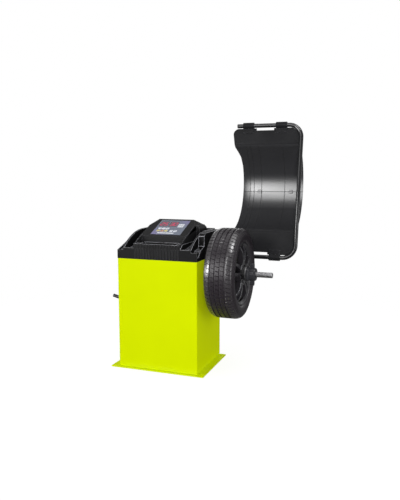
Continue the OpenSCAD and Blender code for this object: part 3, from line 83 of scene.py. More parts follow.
# %% [markdown]
# ## Writing shaders as sums
# A finish is easier to read as a sum than as a web of nodes. One small class stands for an output
# socket, and plus, minus, times and the comparisons on it make Math nodes. The reflected forms let a
# plain number stand on the left, as in one minus a mask.


# %% A socket that takes part in sums
class Wire:
    """An output socket that takes part in sums: each sum becomes a Math node."""

    def __init__(self, finish, socket):
        self.finish = finish
        self.socket = socket

    def math(self, operation, *values):
        return self.finish.node("ShaderNodeMath", {"operation": operation}, dict(enumerate(values)))

    def __add__(self, other):
        return self.math("ADD", self, other)

    def __radd__(self, other):
        return self.math("ADD", other, self)

    def __sub__(self, other):
        return self.math("SUBTRACT", self, other)

    def __rsub__(self, other):
        return self.math("SUBTRACT", other, self)

    def __mul__(self, other):
        return self.math("MULTIPLY", self, other)

    def __rmul__(self, other):
        return self.math("MULTIPLY", other, self)

    def __truediv__(self, other):
        return self.math("DIVIDE", self, other)

    def __pow__(self, other):
        return self.math("POWER", self, other)

    def __gt__(self, other):
        return self.math("GREATER_THAN", self, other)

    def __lt__(self, other):
        return self.math("LESS_THAN", self, other)

    def __abs__(self):
        return self.math("ABSOLUTE", self)


print("sums on sockets: + - * / ** > < abs")

# %% [markdown]
# ## Colours as the eye sees them
# A colour is picked on a screen, and a screen's code is bent to suit the eye. A shader works
# with straight light. The code could be straightened in another program, but a helper that undoes the
# bend keeps the familiar codes in the script.


# %% A colour code as light
def rgb(code):
    """A colour as seen on screen, such as "d8e902", as the linear light that a shader takes."""
    parts = [int(code[i : i + 2], 16) / 255 for i in (0, 2, 4)]
    return tuple(c / 12.92 if c <= 0.04045 else ((c + 0.055) / 1.055) ** 2.4 for c in parts) + (1.0,)


print("mid grey as light", round(rgb("808080")[0], 3))

# %% [markdown]
# ## Any node in one line
# A finish is a material with one Principled shader. A node added by hand takes three steps: make it, set
# it, link it. One method does all three here. It sets the node's own settings first, since some of them
# change which sockets the node has, and then fills the sockets with numbers or wires.


# %% A material and its nodes
class Recipe:
    """A material with one Principled shader, and a short way to add nodes to it."""

    def __init__(self, name, **fixed):
        self.material = bpy.data.materials.new(name)
        self.material.use_nodes = True
        self.tree = self.material.node_tree
        self.shader = self.tree.nodes["Principled BSDF"]
        self.set(**fixed)

    def join(self, value, socket):
        if isinstance(value, Wire):
            self.tree.links.new(value.socket, socket)
        else:
            socket.default_value = value

    def node(self, kind, settings, sockets, out=0):
        made = self.tree.nodes.new(kind)
        for key, value in settings.items():
            setattr(made, key, value)
        for key, value in sockets.items():
            self.join(value, made.inputs[key])
        return Wire(self, made.outputs[out])

    def set(self, **values):
        for key, value in values.items():
            self.join(value, self.shader.inputs[key.replace("_", " ")])


print("a recipe can", [name for name in vars(Recipe) if not name.startswith("_")])

# %% [markdown]
# ## What finishes are made of
# Paint, plastic and metal need few things: the place on the piece, noise of a given grain in millimetres,
# a soft step, a blend of two colours, a mask of the worn edges and a bump. The place is the piece's own, so
# that a finish stays on its piece when a joint moves. Worn edges could be painted by hand, but a bevel node
# finds them: near an edge its rounded normal turns away from the plain one.

# %% A finish and its helpers
EDGE_FAINT, EDGE_FULL = 0.004, 0.06


class Finish(Recipe):
    """A recipe with the helpers that paint, plastic and metal need."""

    def place(self):
        return self.node("ShaderNodeTexCoord", {}, {}, "Object")

    def axes(self):
        """x, y and z of the place on the piece, in metres."""
        place = self.place()
        return [self.node("ShaderNodeSeparateXYZ", {}, {0: place}, axis) for axis in "XYZ"]

    def noise(self, grain_mm, detail=3.0, stretch=(1.0, 1.0, 1.0)):
        """Noise whose patches are about grain_mm across, made longer by the stretch."""
        scale = tuple(1 / (grain_mm * MM * s) for s in stretch)
        moved = self.node("ShaderNodeVectorMath", {"operation": "MULTIPLY"}, {0: self.place(), 1: scale})
        return self.node("ShaderNodeTexNoise", {}, {"Vector": moved, "Scale": 1.0, "Detail": detail}, 0)

    def step(self, value, low, high):
        """0 below low, 1 above high, and a soft rise between them."""
        return self.node(
            "ShaderNodeMapRange",
            {"interpolation_type": "SMOOTHSTEP"},
            {"Value": value, "From Min": low, "From Max": high},
        )

    def mix(self, share, first, second):
        return self.node("ShaderNodeMix", {"data_type": "RGBA"}, {0: share, 6: first, 7: second}, 2)

    def edges(self, radius_mm):
        """1 on a sharp outside or inside edge and 0 away from it."""
        rounded = self.node("ShaderNodeBevel", {"samples": 4}, {"Radius": radius_mm * MM})
        plain = self.node("ShaderNodeNewGeometry", {}, {}, "Normal")
        along = self.node(
            "ShaderNodeVectorMath", {"operation": "DOT_PRODUCT"}, {0: rounded, 1: plain}, "Value"
        )
        return self.step(1.0 - along, EDGE_FAINT, EDGE_FULL)

    def bump(self, height, depth_mm, strength):
        sockets = {"Height": height, "Distance": depth_mm * MM, "Strength": strength}
        self.set(Normal=self.node("ShaderNodeBump", {}, sockets))


print("a finish has", [name for name in vars(Finish) if not name.startswith("_")])

# %% [markdown]
# ## Finishes by slot
# The record names a slot for every CAD piece, such as paint or rubber. Each finish could be put on its
# pieces by name. Filed under its slot, it can be handed out by a loop, and another scene can repaint the
# same slot.

# %% A file of finishes
FINISHES = {}


def keep(slot, made):
    """File a finish under the record's slot that it is for."""
    FINISHES[slot] = made.material
    print(slot, "is", made.material.name, "of", len(made.tree.nodes), "nodes")


# %% [markdown]
# ## Powder coat
# The cabinet is folded sheet steel with a lime powder coat. Powder melts into a skin with a faint
# orange-peel ripple, a millimetre or two from crest to crest. A weak emission in the same colour is
# painted light: it makes the coat glow a little and lifts the shade that the tyre casts on the side. A
# trace of workshop dust dulls the foot. A mask of the outer walls, the bent corners and the base plate
# keeps the lime and its glow outside, and paints the inside of the box dark as painted shade.

# %% Lime powder coat
LIME, LIME_SHADE = rgb("c0d000"), rgb("acbb00")
DUST, INSIDE_PAINTED_SHADE, UNLIT = rgb("8f8a6a"), rgb("2a2b20"), rgb("000000")
CABINET_X, CABINET_Y = corners("cabinet")[1][:2]
SKIN, BEND = 1 * MM, 5.2 * MM
PLATE_TOP = corners("base_plate")[1][2] + SKIN / 2
DUST_FULL, DUST_NONE = 6 * MM, 50 * MM


def outer_faces(made, x, y, z):
    """1 on the outer faces of the cabinet and its plate, and 0 inside, where the colour is painted shade."""
    across, deep = abs(x), abs(y)
    walls = (across > CABINET_X - SKIN) + (deep > CABINET_Y - SKIN)
    bends = across + deep > CABINET_X + CABINET_Y - BEND
    return made.step(walls + bends + (z < PLATE_TOP), 0.0, 1.0)


def powder_coat():
    made = Finish(
        "lime_powder_coat", Coat_Roughness=0.2, Coat_IOR=1.4, Specular_IOR_Level=0.008, Emission_Strength=0.2
    )
    x, y, z = made.axes()
    outside = outer_faces(made, x, y, z)
    drift = made.noise(260, 2)
    speck = made.step(made.noise(9, 5), 0.68, 0.76)
    foot = 1.0 - made.step(z, DUST_FULL, DUST_NONE)
    dust = foot * made.step(made.noise(40, 5), 0.35, 0.75) * 0.08
    colour = made.mix(drift * 0.35 + speck * 0.12, LIME, LIME_SHADE)
    made.set(
        # The inside of the box gets a dark colour: painted shade.
        Base_Color=made.mix(outside, INSIDE_PAINTED_SHADE, made.mix(dust, colour, DUST)),
        Roughness=0.34 + drift * 0.1 + dust * 0.5 + made.edges(2) * 0.08,
        Coat_Weight=0.01 - dust * 0.04,
        # The emission is painted light: a glow that lifts the shade the tyre casts on the side.
        Emission_Color=made.mix(outside, UNLIT, colour),
    )
    made.bump(made.noise(2.2, 2), 0.05, 0.35)
    return made


keep("lime_paint", powder_coat())

# %% [markdown]
# ## Moulded plastic
# The tray and the console are moulded in black with a fine spark-eroded grain, which a mould keeps
# for life. Hands and weights rub the edges smooth, and the edges are painted paler, partly as that wear
# and partly as painted highlight; the upright ribs on the front get little of it. The console gets a
# paler copy of the tray's black, as painted light on its sloping top. A painted-on rub would not follow
# a change of shape, so it comes from the mask of the edges, broken up by noise.

# %% Grained plastic
PLASTIC, PLASTIC_DEEP, PLASTIC_WEAR_AND_HIGHLIGHT = rgb("121213"), rgb("0b0b0c"), rgb("84848a")
# The console's paler blacks are painted light on its sloping top.
CONSOLE_PAINTED_LIGHT, CONSOLE_DEEP_PAINTED_LIGHT = rgb("242425"), rgb("1a1a1b")
RIB_ZONE = 4.5 * MM
RIB_FRONT = corners("weight_tray")[0][1] + RIB_ZONE
RIB_TOP = corners("console_housing")[0][2] - RIB_ZONE


def off_the_ribs(made):
    """1 where the edges are painted pale for wear and painted highlight, and little on the ribs of the tray's
    front.
    """
    y, z = made.axes()[1:]
    return 1.0 - (y < RIB_FRONT) * (z < RIB_TOP) * 0.9


def grained_plastic(name, deep, raised_colour):
    made = Finish(name, Specular_IOR_Level=0.1)
    grain = made.noise(0.9, 2)
    cloud = made.noise(120, 3)
    rub = made.edges(3.5) * made.step(made.noise(14, 4), 0.25, 0.55) * off_the_ribs(made)
    lint = made.step(made.noise(5, 6), 0.7, 0.78)
    colour = made.mix(cloud, deep, raised_colour)
    colour = made.mix(lint * 0.25, colour, PLASTIC_WEAR_AND_HIGHLIGHT)
    made.set(
        # The pale edges are wear and painted highlight in one.
        Base_Color=made.mix(rub * 0.55, colour, PLASTIC_WEAR_AND_HIGHLIGHT),
        Roughness=0.5 + grain * 0.12 + cloud * 0.06 - rub * 0.16,
    )
    made.bump(grain + 0.4 * made.noise(2.4, 2), 0.06, 0.5)
    return made


keep("tray_plastic", grained_plastic("grained_tray_plastic", PLASTIC_DEEP, PLASTIC))
CONSOLE = grained_plastic("grained_plastic_painted_light", CONSOLE_DEEP_PAINTED_LIGHT, CONSOLE_PAINTED_LIGHT).material

# %% [markdown]
# ## Rubbed rims with painted highlight
# The lips and dividers of the tray have rounded rims. Years of weights rub these smooth, and they catch
# more light than the mask of sharp edges can show on a rounded shape. A second finish for the rims alone
# is smoother and painted paler, partly as wear and partly as painted highlight, with patches where the
# black still stands.

# %% Plastic rubbed pale, with painted highlight


def rubbed_highlit_plastic():
    made = Finish("rubbed_highlit_black_plastic", Specular_IOR_Level=0.5)
    grain = made.noise(0.9, 2)
    patch = made.step(made.noise(26, 5), 0.25, 0.55) * off_the_ribs(made)
    made.set(
        # The pale patches are wear and painted highlight in one.
        Base_Color=made.mix(patch, PLASTIC, PLASTIC_WEAR_AND_HIGHLIGHT),
        Roughness=0.42 - patch * 0.1 + grain * 0.08,
    )
    made.bump(grain, 0.04, 0.35)
    return made


RUBBED_HIGHLIT = rubbed_highlit_plastic().material
print("rims get", RUBBED_HIGHLIT.name)

# %% [markdown]
# ## A place on the hood
# The hood's finish changes from its flat wings to the deep of its arch. The hood leans back, so neither y
# nor z alone says how deep a point lies. An unwrapped mesh could tell, but two sums are simpler: with the
# lean taken out they give the distance behind the pivot and the distance along the hood.

# %% Behind the pivot and along the hood
HOOD_Y, HOOD_Z = middle("hood_bushes")[1:]
HOOD_LEAN = math.radians(10)


def hood_place(made):
    """Across the hood, behind its pivot and along it, in metres, with the lean taken out."""
    x, y, z = made.axes()
    cos, sin = math.cos(HOOD_LEAN), math.sin(HOOD_LEAN)
    behind = (y - HOOD_Y) * cos - (z - HOOD_Z) * sin
    along = (y - HOOD_Y) * sin + (z - HOOD_Z) * cos
    return x, behind, along


print("hood pivot at y", HOOD_Y, "z", HOOD_Z)

# %% [markdown]
# ## Gloss on the formed sheet
# The hood is a plastic sheet formed under heat. Where the arch is drawn deepest the sheet comes out smooth
# and glossy, and the flat wings keep a dull face. The seam and the creases are dull lines across the gloss.
# One gloss for the whole sheet would mirror the room everywhere, so the gloss is a mask that grows with the
# depth.

# %% Gloss in the arch
HOOD_X = corners("hood_lower_shell")[0][0]
HOOD_SEAM, HOOD_CREASES = 0.497, (0.385, 0.416, 0.474, 0.649)
LINE_HALF = 1.8 * MM
GLOSS_FROM, GLOSS_FULL = 0.171, 0.2
GLOSS_INNER, GLOSS_OUTER = HOOD_X - 10 * MM, HOOD_X + 85 * MM


def hood_gloss(made, x, behind, along):
    """1 in the deepest part of the arch, and less on the seam and the creases."""
    deepest = made.node(
        "ShaderNodeMapRange", {}, {"Value": behind, "From Min": GLOSS_FROM, "From Max": GLOSS_FULL}
    )
    lines = abs(along - HOOD_SEAM) < LINE_HALF
    for crease in HOOD_CREASES:
        lines = lines + (abs(x - crease) < LINE_HALF) * 0.6
    dulled = 1.0 - made.step(lines, 0.0, 1.0) * 0.8
    return deepest**1.8 * made.step(x, GLOSS_INNER, GLOSS_OUTER) * dulled


print("seam", HOOD_SEAM, "m along the hood,", len(HOOD_CREASES), "creases")

# %% [markdown]
# ## Colour of the formed sheet
# The arch gets less light than the flat wings, so a greyer black is painted into it as painted light, by
# depth and most of all above the seam; the upper wing catches more light and is painted a darker black
# as painted shade. A blend by depth follows both shells. Cloths leave wipe marks across the arch, and
# noise drawn out sideways gives the wipe marks.

# %% Black sheet, with painted light in the arch and painted shade above
HOOD_BLACK, HOOD_WING_PAINTED_SHADE = rgb("1c1c1e"), rgb("18181a")
HOOD_HAZE, HOOD_ARCH_PAINTED_LIGHT = rgb("28282a"), rgb("363638")
UPPER_FROM, UPPER_SURE = HOOD_SEAM - 150 * MM, HOOD_SEAM + 100 * MM
ARCH_FROM, ARCH_SURE = 0.5 * MM, 6 * MM
SHALLOW_TO, DEEP_FROM = 30 * MM, 120 * MM


def hood_colour(made, behind, along):
    """Black on the wings, a darker black above as painted shade, and a greyer black in the arch as painted
    light.
    """
    upper = made.step(along, UPPER_FROM, UPPER_SURE)
    shallow = 1.0 - made.step(behind, SHALLOW_TO, DEEP_FROM)
    # drawn is painted light: a greyer black where the arch gets less light, most of all above the seam.
    drawn = made.step(behind, ARCH_FROM, ARCH_SURE) * (0.43 + upper * (0.29 + shallow * 0.28))
    # The upper part is painted a darker black as painted shade, where it catches more light.
    return made.mix(drawn, made.mix(upper, HOOD_BLACK, HOOD_WING_PAINTED_SHADE), HOOD_ARCH_PAINTED_LIGHT)


def formed_sheet():
    made = Finish("polished_black_plastic", Coat_Roughness=0.28, Coat_IOR=2.35, Specular_IOR_Level=0.06)
    x, behind, along = hood_place(made)
    gloss = hood_gloss(made, x, behind, along)
    wipe = made.noise(20, 4, (14.0, 1.0, 1.0))
    haze = made.noise(160, 4)
    speck = made.step(made.noise(2.6, 5), 0.72, 0.78)
    rub = made.edges(2) * 0.5
    hazy = haze * 0.5 + speck * 0.3 + rub * 0.4
    made.set(
        Base_Color=made.mix(hazy, hood_colour(made, behind, along), HOOD_HAZE),
        Roughness=0.62 - gloss * 0.32 + wipe * 0.05 + speck * 0.06,
        Coat_Weight=gloss * (0.94 - wipe * 0.12) + 0.03 * haze,
    )
    made.bump(made.noise(1.6, 2) + 0.3 * wipe, 0.03, 0.3)
    return made


keep("hood_plastic", formed_sheet())

# %% [markdown]
# ## Painted steel
# Black paint covers the hood's tube, the bracket and the pegs. It has a clear, even skin that chips at
# edges and shows grey steel below. Chips could be modelled one by one, but at this size a mask of the
# sharp edges, thinned by noise, gives the same bright specks and can turn them to metal.

# %% Paint that chips
SATIN, SATIN_GREY, CHIP = rgb("121214"), rgb("1d1d20"), rgb("8d8f93")


def satin_paint(name, colour, second, chip, gloss):
    made = Finish(name, Coat_Roughness=0.07, Coat_IOR=1.6, Specular_IOR_Level=0.14)
    drift = made.noise(70, 4)
    chips = made.edges(1.2) * made.step(made.noise(6, 5), 0.5, 0.6) * chip
    scuff = made.step(made.noise(22, 6, (1.0, 1.0, 3.0)), 0.66, 0.74)
    made.set(
        Base_Color=made.mix(chips, made.mix(drift * 0.7 + scuff * 0.3, colour, second), CHIP),
        Roughness=0.26 + drift * 0.08 + scuff * 0.12 - chips * 0.05,
        Metallic=chips * 0.9,
        Coat_Weight=gloss * (1.0 - scuff * 0.6),
    )
    made.bump(made.noise(1.8, 2), 0.05, 0.3)
    return made


keep("hood_paint", satin_paint("hood_satin_paint", SATIN, SATIN_GREY, 0.35, 0.55))
keep("dark_steel", satin_paint("dark_steel_paint", rgb("242427"), rgb("36363a"), 0.6, 0.06))
keep("nut_plastic", satin_paint("black_anodised", rgb("2a2a2d"), rgb("3a3a3e"), 0.4, 0.06))

# %% [markdown]
# ## Turned metal
# The spindle, its bearings and the hood's bronze bushes are turned in a lathe, and the tool leaves fine
# rings. Plain noise would look like cast metal. So the noise is fed with two lengths only, along the
# axis and out from it, and comes out as rings that change the roughness from one to the next.

# %% Rings from a lathe
STEEL, STEEL_DARK = rgb("a6a6a7"), rgb("7b7b7d")
SPINDLE_Y, SPINDLE_Z = middle("main_shaft")[1:]


def lathe_rings(made, axis_z, rings_to_metre, detail):
    """Noise that runs in rings round an axis along x."""
    x, y, z = made.axes()
    radius = (y * y + (z - axis_z) * (z - axis_z)) ** 0.5
    pair = made.node("ShaderNodeCombineXYZ", {}, {0: x, 1: radius})
    sockets = {"Vector": pair, "Scale": rings_to_metre, "Detail": detail}
    return made.node("ShaderNodeTexNoise", {}, sockets, 0)


def turned_steel(name, colour, second, axis_z, rough):
    made = Finish(name, Specular_IOR_Level=0.6)
    rings = lathe_rings(made, axis_z, 2600.0, 2.0)
    bands = lathe_rings(made, axis_z, 180.0, 3.0)
    stain = made.step(made.noise(16, 5), 0.5, 0.8)
    made.set(
        Base_Color=made.mix(bands * 0.5 + stain * 0.4, colour, second),
        Roughness=rough + rings * 0.12 + stain * 0.14,
        Metallic=1.0 - stain * 0.05,
    )
    made.bump(rings, 0.02, 0.35)
    return made


keep("bright_steel", turned_steel("turned_steel", STEEL, STEEL_DARK, SPINDLE_Z, 0.44))
keep("light_alloy", turned_steel("turned_alloy", rgb("d3d4d6"), rgb("adafb3"), SPINDLE_Z, 0.22))
keep("bronze", turned_steel("turned_bronze", rgb("c9a25e"), rgb("8d6a33"), HOOD_Z, 0.3))

# %% [markdown]
# ## Rubber
# Tyre rubber is a warm dark grey, never a true black. The grooves are painted paler than the ribs, partly
# as dust and partly as painted light that cancels the shade in them, and the round shoulder blocks are
# polished by the road and catch the light. Where a point lies on the tyre could be painted by hand. Two
# lengths do it without: how far it is from the axle, and how far to the side of the tread's middle. The
# drive belt is the same rubber without the road.

# %% Tyre and belt rubber
RUBBER, RUBBER_WORN, RUBBER_DUST_AND_LIFT = rgb("231f23"), rgb("292429"), rgb("3e3a3e")
WHEEL_X = middle("tyre")[0]
TYRE_RADIUS = corners("tyre")[1][1]
GROOVE_FLOOR, TREAD_FACE = TYRE_RADIUS - 7.2 * MM, TYRE_RADIUS - 1.6 * MM
TREAD_HALF = 51 * MM
SHOULDER_START, SHOULDER_END = (50 * MM, 56 * MM), (84 * MM, 94 * MM)


def tyre_rubber():
    made = Finish("tyre_rubber", Specular_IOR_Level=0.3, Coat_Roughness=0.24, Coat_IOR=1.8)
    x, y, z = made.axes()
    aside, drop = abs(x - WHEEL_X), z - SPINDLE_Z
    shoulder = made.step(aside, *SHOULDER_START) * (1.0 - made.step(aside, *SHOULDER_END))
    tread = made.step((y * y + drop * drop) ** 0.5, GROOVE_FLOOR, TREAD_FACE)
    cloud = made.noise(45, 4)
    grit = made.noise(1.4, 4)
    # The groove colour is dust and painted light in one: it cancels the shade in the grooves.
    dust = (1.0 - tread) * (aside < TREAD_HALF) * (0.7 + 0.3 * made.noise(20, 5))
    colour = made.mix(cloud * 0.5 + tread * 0.4, RUBBER, RUBBER_WORN)
    made.set(
        Base_Color=made.mix(dust, colour, RUBBER_DUST_AND_LIFT),
        Roughness=0.25 + grit * 0.1 + cloud * 0.08,
        Coat_Weight=shoulder * (0.95 - cloud * 0.3),
    )
    made.bump(grit + 0.5 * made.noise(4, 2), 0.05, 0.35)
    return made


def belt_rubber():
    made = Finish("belt_rubber", Specular_IOR_Level=0.35)
    cloud = made.noise(18, 4)
    made.set(
        Base_Color=made.mix(cloud, rgb("1a1a1b"), rgb("2d2c2d")),
        Roughness=0.62 + cloud * 0.2,
    )
    made.bump(made.noise(1.0, 3), 0.08, 0.5)
    return made


keep("tyre_rubber", tyre_rubber())
keep("belt_rubber", belt_rubber())

# %% [markdown]
# ## The alloy rim
# The rim is cast in alloy, painted a dark gloss and then faced in a lathe, so that its edges are bare
# and bright and its hollows stay dark. Two materials on one mesh give that split cleanly: the paint for
# the faces, the machined metal for the bevelled edges.

# %% Gloss paint and machined edges


def gloss_paint():
    made = Finish("rim_gloss_paint", Coat_Roughness=0.04)
    flake = made.noise(0.7, 1)
    cloud = made.noise(50, 3)
    dust = made.step(made.noise(12, 6), 0.6, 0.8)
    made.set(
        Base_Color=made.mix(cloud * 0.4 + dust * 0.35, rgb("262428"), rgb("323034")),
        Roughness=0.26 + dust * 0.2 + cloud * 0.06,
        Metallic=0.1 + flake * 0.1,
        Coat_Weight=0.35 - dust * 0.2,
    )
    made.bump(cloud, 0.1, 0.15)
    return made


def machined_alloy():
    made = Finish("machined_alloy", Coat_Roughness=0.06)
    rings = lathe_rings(made, SPINDLE_Z, 1800.0, 2.0)
    cloud = made.noise(30, 3)
    made.set(
        Base_Color=made.mix(rings * 0.6 + cloud * 0.3, rgb("808185"), rgb("525357")),
        Roughness=0.3 + rings * 0.14,
        Metallic=1.0 - cloud * 0.04,
        Coat_Weight=0.4 - cloud * 0.1,
    )
    made.bump(rings, 0.015, 0.3)
    return made


keep("rim_paint", gloss_paint())
MACHINED = machined_alloy().material

# %% [markdown]
# ## Castings and boards
# Inside the cabinet are a cast bearing housing, a motor and two circuit boards. A casting keeps the
# texture of its sand mould below the paint, and its edges wear to metal. A board is green lacquer over
# copper tracks. The cells of a Voronoi texture, drawn as lines, look like tracks at this size.

# %% Castings and boards


def painted_casting():
    made = Finish("painted_casting", Specular_IOR_Level=0.45)
    sand = made.noise(1.6, 4)
    cloud = made.noise(60, 4)
    wear = made.edges(1.5) * made.step(made.noise(9, 4), 0.4, 0.6)
    made.set(
        Base_Color=made.mix(wear * 0.6, made.mix(cloud, rgb("8b8f95"), rgb("a2a5aa")), CHIP),
        Roughness=0.45 + sand * 0.15 + cloud * 0.08,
        Metallic=wear * 0.7,
    )
    made.bump(sand, 0.18, 0.5)
    return made


def circuit_board():
    made = Finish("circuit_board", Coat_Roughness=0.2)
    cells = made.node(
        "ShaderNodeTexVoronoi", {"feature": "DISTANCE_TO_EDGE"}, {"Vector": made.place(), "Scale": 160.0}
    )
    track = 1.0 - made.step(cells, 0.05, 0.09)
    cloud = made.noise(20, 3)
    made.set(
        Base_Color=made.mix(track * 0.6, made.mix(cloud, rgb("1c5a32"), rgb("2a7a46")), rgb("58a86a")),
        Roughness=0.35 + cloud * 0.12,
        Coat_Weight=0.3 - cloud * 0.1,
    )
    made.bump(track, 0.05, 0.4)
    return made


keep("grey_casting", painted_casting())
keep("circuit_board", circuit_board())

# %% [markdown]
# ## The panel's own plane
# The control panel is a printed film on a sloping plate. Whatever is printed on it is easiest to place
# with two lengths in its own plane: across from its middle and up from its lower edge. Rectangles and
# frame lines are then comparisons of those lengths, and need no picture.

# %% Lengths and rectangles on the panel
PANEL_X, PANEL_Y, PANEL_Z = middle("control_panel")[0], corners("control_panel")[0][1], 0.896
PANEL_TILT = math.radians(21.5)
PANEL_W, PANEL_H = 212 * MM, 222 * MM


def panel_axes(made):
    """Across and up the panel, in metres from the middle of its lower edge."""
    x, y, z = made.axes()
    up = (y - PANEL_Y) * math.cos(PANEL_TILT) + (z - PANEL_Z) * math.sin(PANEL_TILT)
    return x - PANEL_X, up


def inside(u, v, middle_u, middle_v, width, height):
    """1 within a rectangle of the panel and 0 outside it."""
    return (abs(u - middle_u) < width / 2) * (abs(v - middle_v) < height / 2)


def frame_line(u, v, middle_u, middle_v, width, height, line):
    """1 on a line of even width just outside a rectangle."""
    outer = inside(u, v, middle_u, middle_v, width + 2 * line, height + 2 * line)
    return outer * (1.0 - inside(u, v, middle_u, middle_v, width, height))


print("panel at", PANEL_X, PANEL_Y, PANEL_Z, "tilted by", round(math.degrees(PANEL_TILT), 1), "degrees")

# %% [markdown]
# ## The film's ground and frames
# The ground runs from violet at the lower left and the upper right to a blue grey between, with a darker
# band at the top. On it are dark frames round the displays and pale ones round the keys. A picture of the
# film would blur in a close view, and a comparison of lengths stays sharp at any distance.

# %% Ground and frames
INK_WHITE, INK_GREY, INK_DARK = rgb("e2e5ec"), rgb("7c8391"), rgb("23242c")
KEY_W, KEY_H, KEY_GAP = 20 * MM, 18 * MM, 2 * MM
KEY_ROWS = {86: (-72, -44, -16), 52: (-72, -44, -16, 24, 52)}
KEY_PLACES = [(u * MM, row * MM) for row, places in KEY_ROWS.items() for u in places]
DISPLAY_U, DISPLAY_V = (-66 * MM, 4 * MM), 154 * MM
DISPLAY_W, DISPLAY_H, DISPLAY_LINE = 58 * MM, 72 * MM, 2 * MM
BAND_FROM, BAND_FULL = 208.5 * MM, 209.5 * MM


def film_ground(made, u, v):
    lean, rise = (u + PANEL_W / 2) / PANEL_W, v / PANEL_H
    corner = made.step((1.0 - lean) * (1.0 - rise), 0.35, 0.95) + made.step(lean * rise, 0.4, 0.95)
    ground = made.mix(corner, rgb("6c7485"), rgb("78719f"))
    ground = made.mix(made.noise(35, 3) * 0.18, ground, rgb("5a6273"))
    return made.mix(made.step(v, BAND_FROM, BAND_FULL), ground, INK_DARK)


def film_frames(made, u, v, colour):
    lines = 0.0
    for display_u in DISPLAY_U:
        lines = lines + frame_line(u, v, display_u, DISPLAY_V, DISPLAY_W, DISPLAY_H, DISPLAY_LINE)
    colour = made.mix(lines, colour, INK_DARK)
    for key_u, key_v in KEY_PLACES:
        line = frame_line(u, v, key_u, key_v, KEY_W + KEY_GAP, KEY_H + KEY_GAP, KEY_GAP / 2)
        colour = made.mix(line, colour, INK_WHITE)
    return colour


print("frames for", len(DISPLAY_U), "displays and", len(KEY_PLACES), "keys")

# %% [markdown]
# ## The film's drawing and strip
# A white square at the right has a small drawing of a wheel's section, and a white strip along the foot is
# divided into cells. Both are rectangles again. The strip's dividers come from one repeat of a length, the
# way a ruler is marked, and not from a line for each.

# %% Drawing and strip
DRAWING_U, DRAWING_V, DRAWING_SIDE = 64 * MM, 134 * MM, 50 * MM
STRIP_U, STRIP_V, STRIP_W, STRIP_H, STRIP_CELL = -8 * MM, 21 * MM, 120 * MM, 14 * MM, 20 * MM


def film_drawing(made, u, v, colour):
    """A wheel's section: two flanges with their lips, the axle and the hub."""
    square = inside(u, v, DRAWING_U, DRAWING_V, DRAWING_SIDE * 0.8, DRAWING_SIDE)
    colour = made.mix(square, colour, INK_WHITE)
    for side in (-1, 1):
        flange = inside(u, v, DRAWING_U + side * 12 * MM, DRAWING_V, 2 * MM, 36 * MM)
        lip = inside(u, v, DRAWING_U + side * 10 * MM, DRAWING_V + 17 * MM, 6 * MM, 2 * MM)
        foot = inside(u, v, DRAWING_U + side * 10 * MM, DRAWING_V - 17 * MM, 6 * MM, 2 * MM)
        colour = made.mix(flange + lip + foot, colour, INK_GREY)
    axle = inside(u, v, DRAWING_U, DRAWING_V, 30 * MM, 2.4 * MM)
    hub = inside(u, v, DRAWING_U + 5 * MM, DRAWING_V, 3 * MM, 24 * MM)
    return made.mix(axle + hub, colour, INK_GREY)


def film_strip(made, u, v, colour):
    strip = inside(u, v, STRIP_U, STRIP_V, STRIP_W, STRIP_H)
    start = STRIP_W / 2 - STRIP_U
    cells = made.node("ShaderNodeMath", {"operation": "FRACT"}, {0: (u + start) / STRIP_CELL})
    return made.mix(strip, colour, made.mix((cells < 0.06) * 0.8, INK_WHITE, INK_GREY))


print("strip of", round(STRIP_W / STRIP_CELL), "cells")

# %% [markdown]
# ## Printing the film
# Inks are laid one over the other in printing, and so is each mark here over the ones before. The film has
# a clear face with the smears of fingers on it, so the smears change its roughness and its coat, and leave
# the print alone.

# %% Print the film


def panel_film():
    made = Finish("panel_film", Coat_Roughness=0.12)
    u, v = panel_axes(made)
    colour = film_ground(made, u, v)
    for printed in (film_frames, film_drawing, film_strip):
        colour = printed(made, u, v, colour)
    smear = made.noise(24, 5)
    made.set(Base_Color=colour, Roughness=0.32 + smear * 0.16, Coat_Weight=0.35 - smear * 0.15)
    made.bump(made.noise(0.8, 1), 0.02, 0.35)
    return made


keep("panel_film", panel_film())

# %% [markdown]
# ## Lenses and key caps
# The display lenses are smoky plastic with a clear face. Key caps are soft plastic in white, yellow and
# orange, and grime gathers at their edges. The rocker of the mains switch is the same kind of moulding in
# red, so one recipe with two colours serves them all.

# %% Lenses and caps


def display_lens():
    made = Finish("display_lens", Coat_Roughness=0.03)
    smear = made.noise(9, 4)
    made.set(
        Base_Color=made.mix(made.noise(20, 3) * 0.6, rgb("5c4856"), rgb("6c5866")),
        Roughness=0.16 + smear * 0.14,
        Coat_Weight=0.6 - smear * 0.2,
    )
    made.bump(smear, 0.02, 0.15)
    return made


def key_cap(name, colour, second):
    made = Finish(name, Coat_Roughness=0.2)
    cloud = made.noise(7, 4)
    grime = made.edges(1.2) * made.step(made.noise(3, 4), 0.35, 0.65)
    made.set(
        Base_Color=made.mix(grime * 0.25, made.mix(cloud * 0.5, colour, second), INK_GREY),
        Roughness=0.36 + cloud * 0.16,
        Coat_Weight=0.2 - cloud * 0.1,
    )
    made.bump(made.noise(0.6, 1), 0.02, 0.4)
    return made


keep("display_red", display_lens())
for cap, first, second in (
    ("rocker_red", "b3171c", "8c1015"),
    ("key_white", "dfe1e7", "cfd3dc"),
    ("key_yellow", "dccf88", "ccbe6c"),
    ("key_orange", "e0ac82", "d0976a"),
):
    keep(cap, key_cap(cap, rgb(first), rgb(second)))

# %% [markdown]
# ## Handing out the finishes
# Each CAD piece now gets the finish of its slot. By hand that would be a line for every piece. A loop over
# the record needs no names, and dresses a new piece without a change here. The same record says which body
# a piece belongs to, which is needed as soon as a piece is rounded.

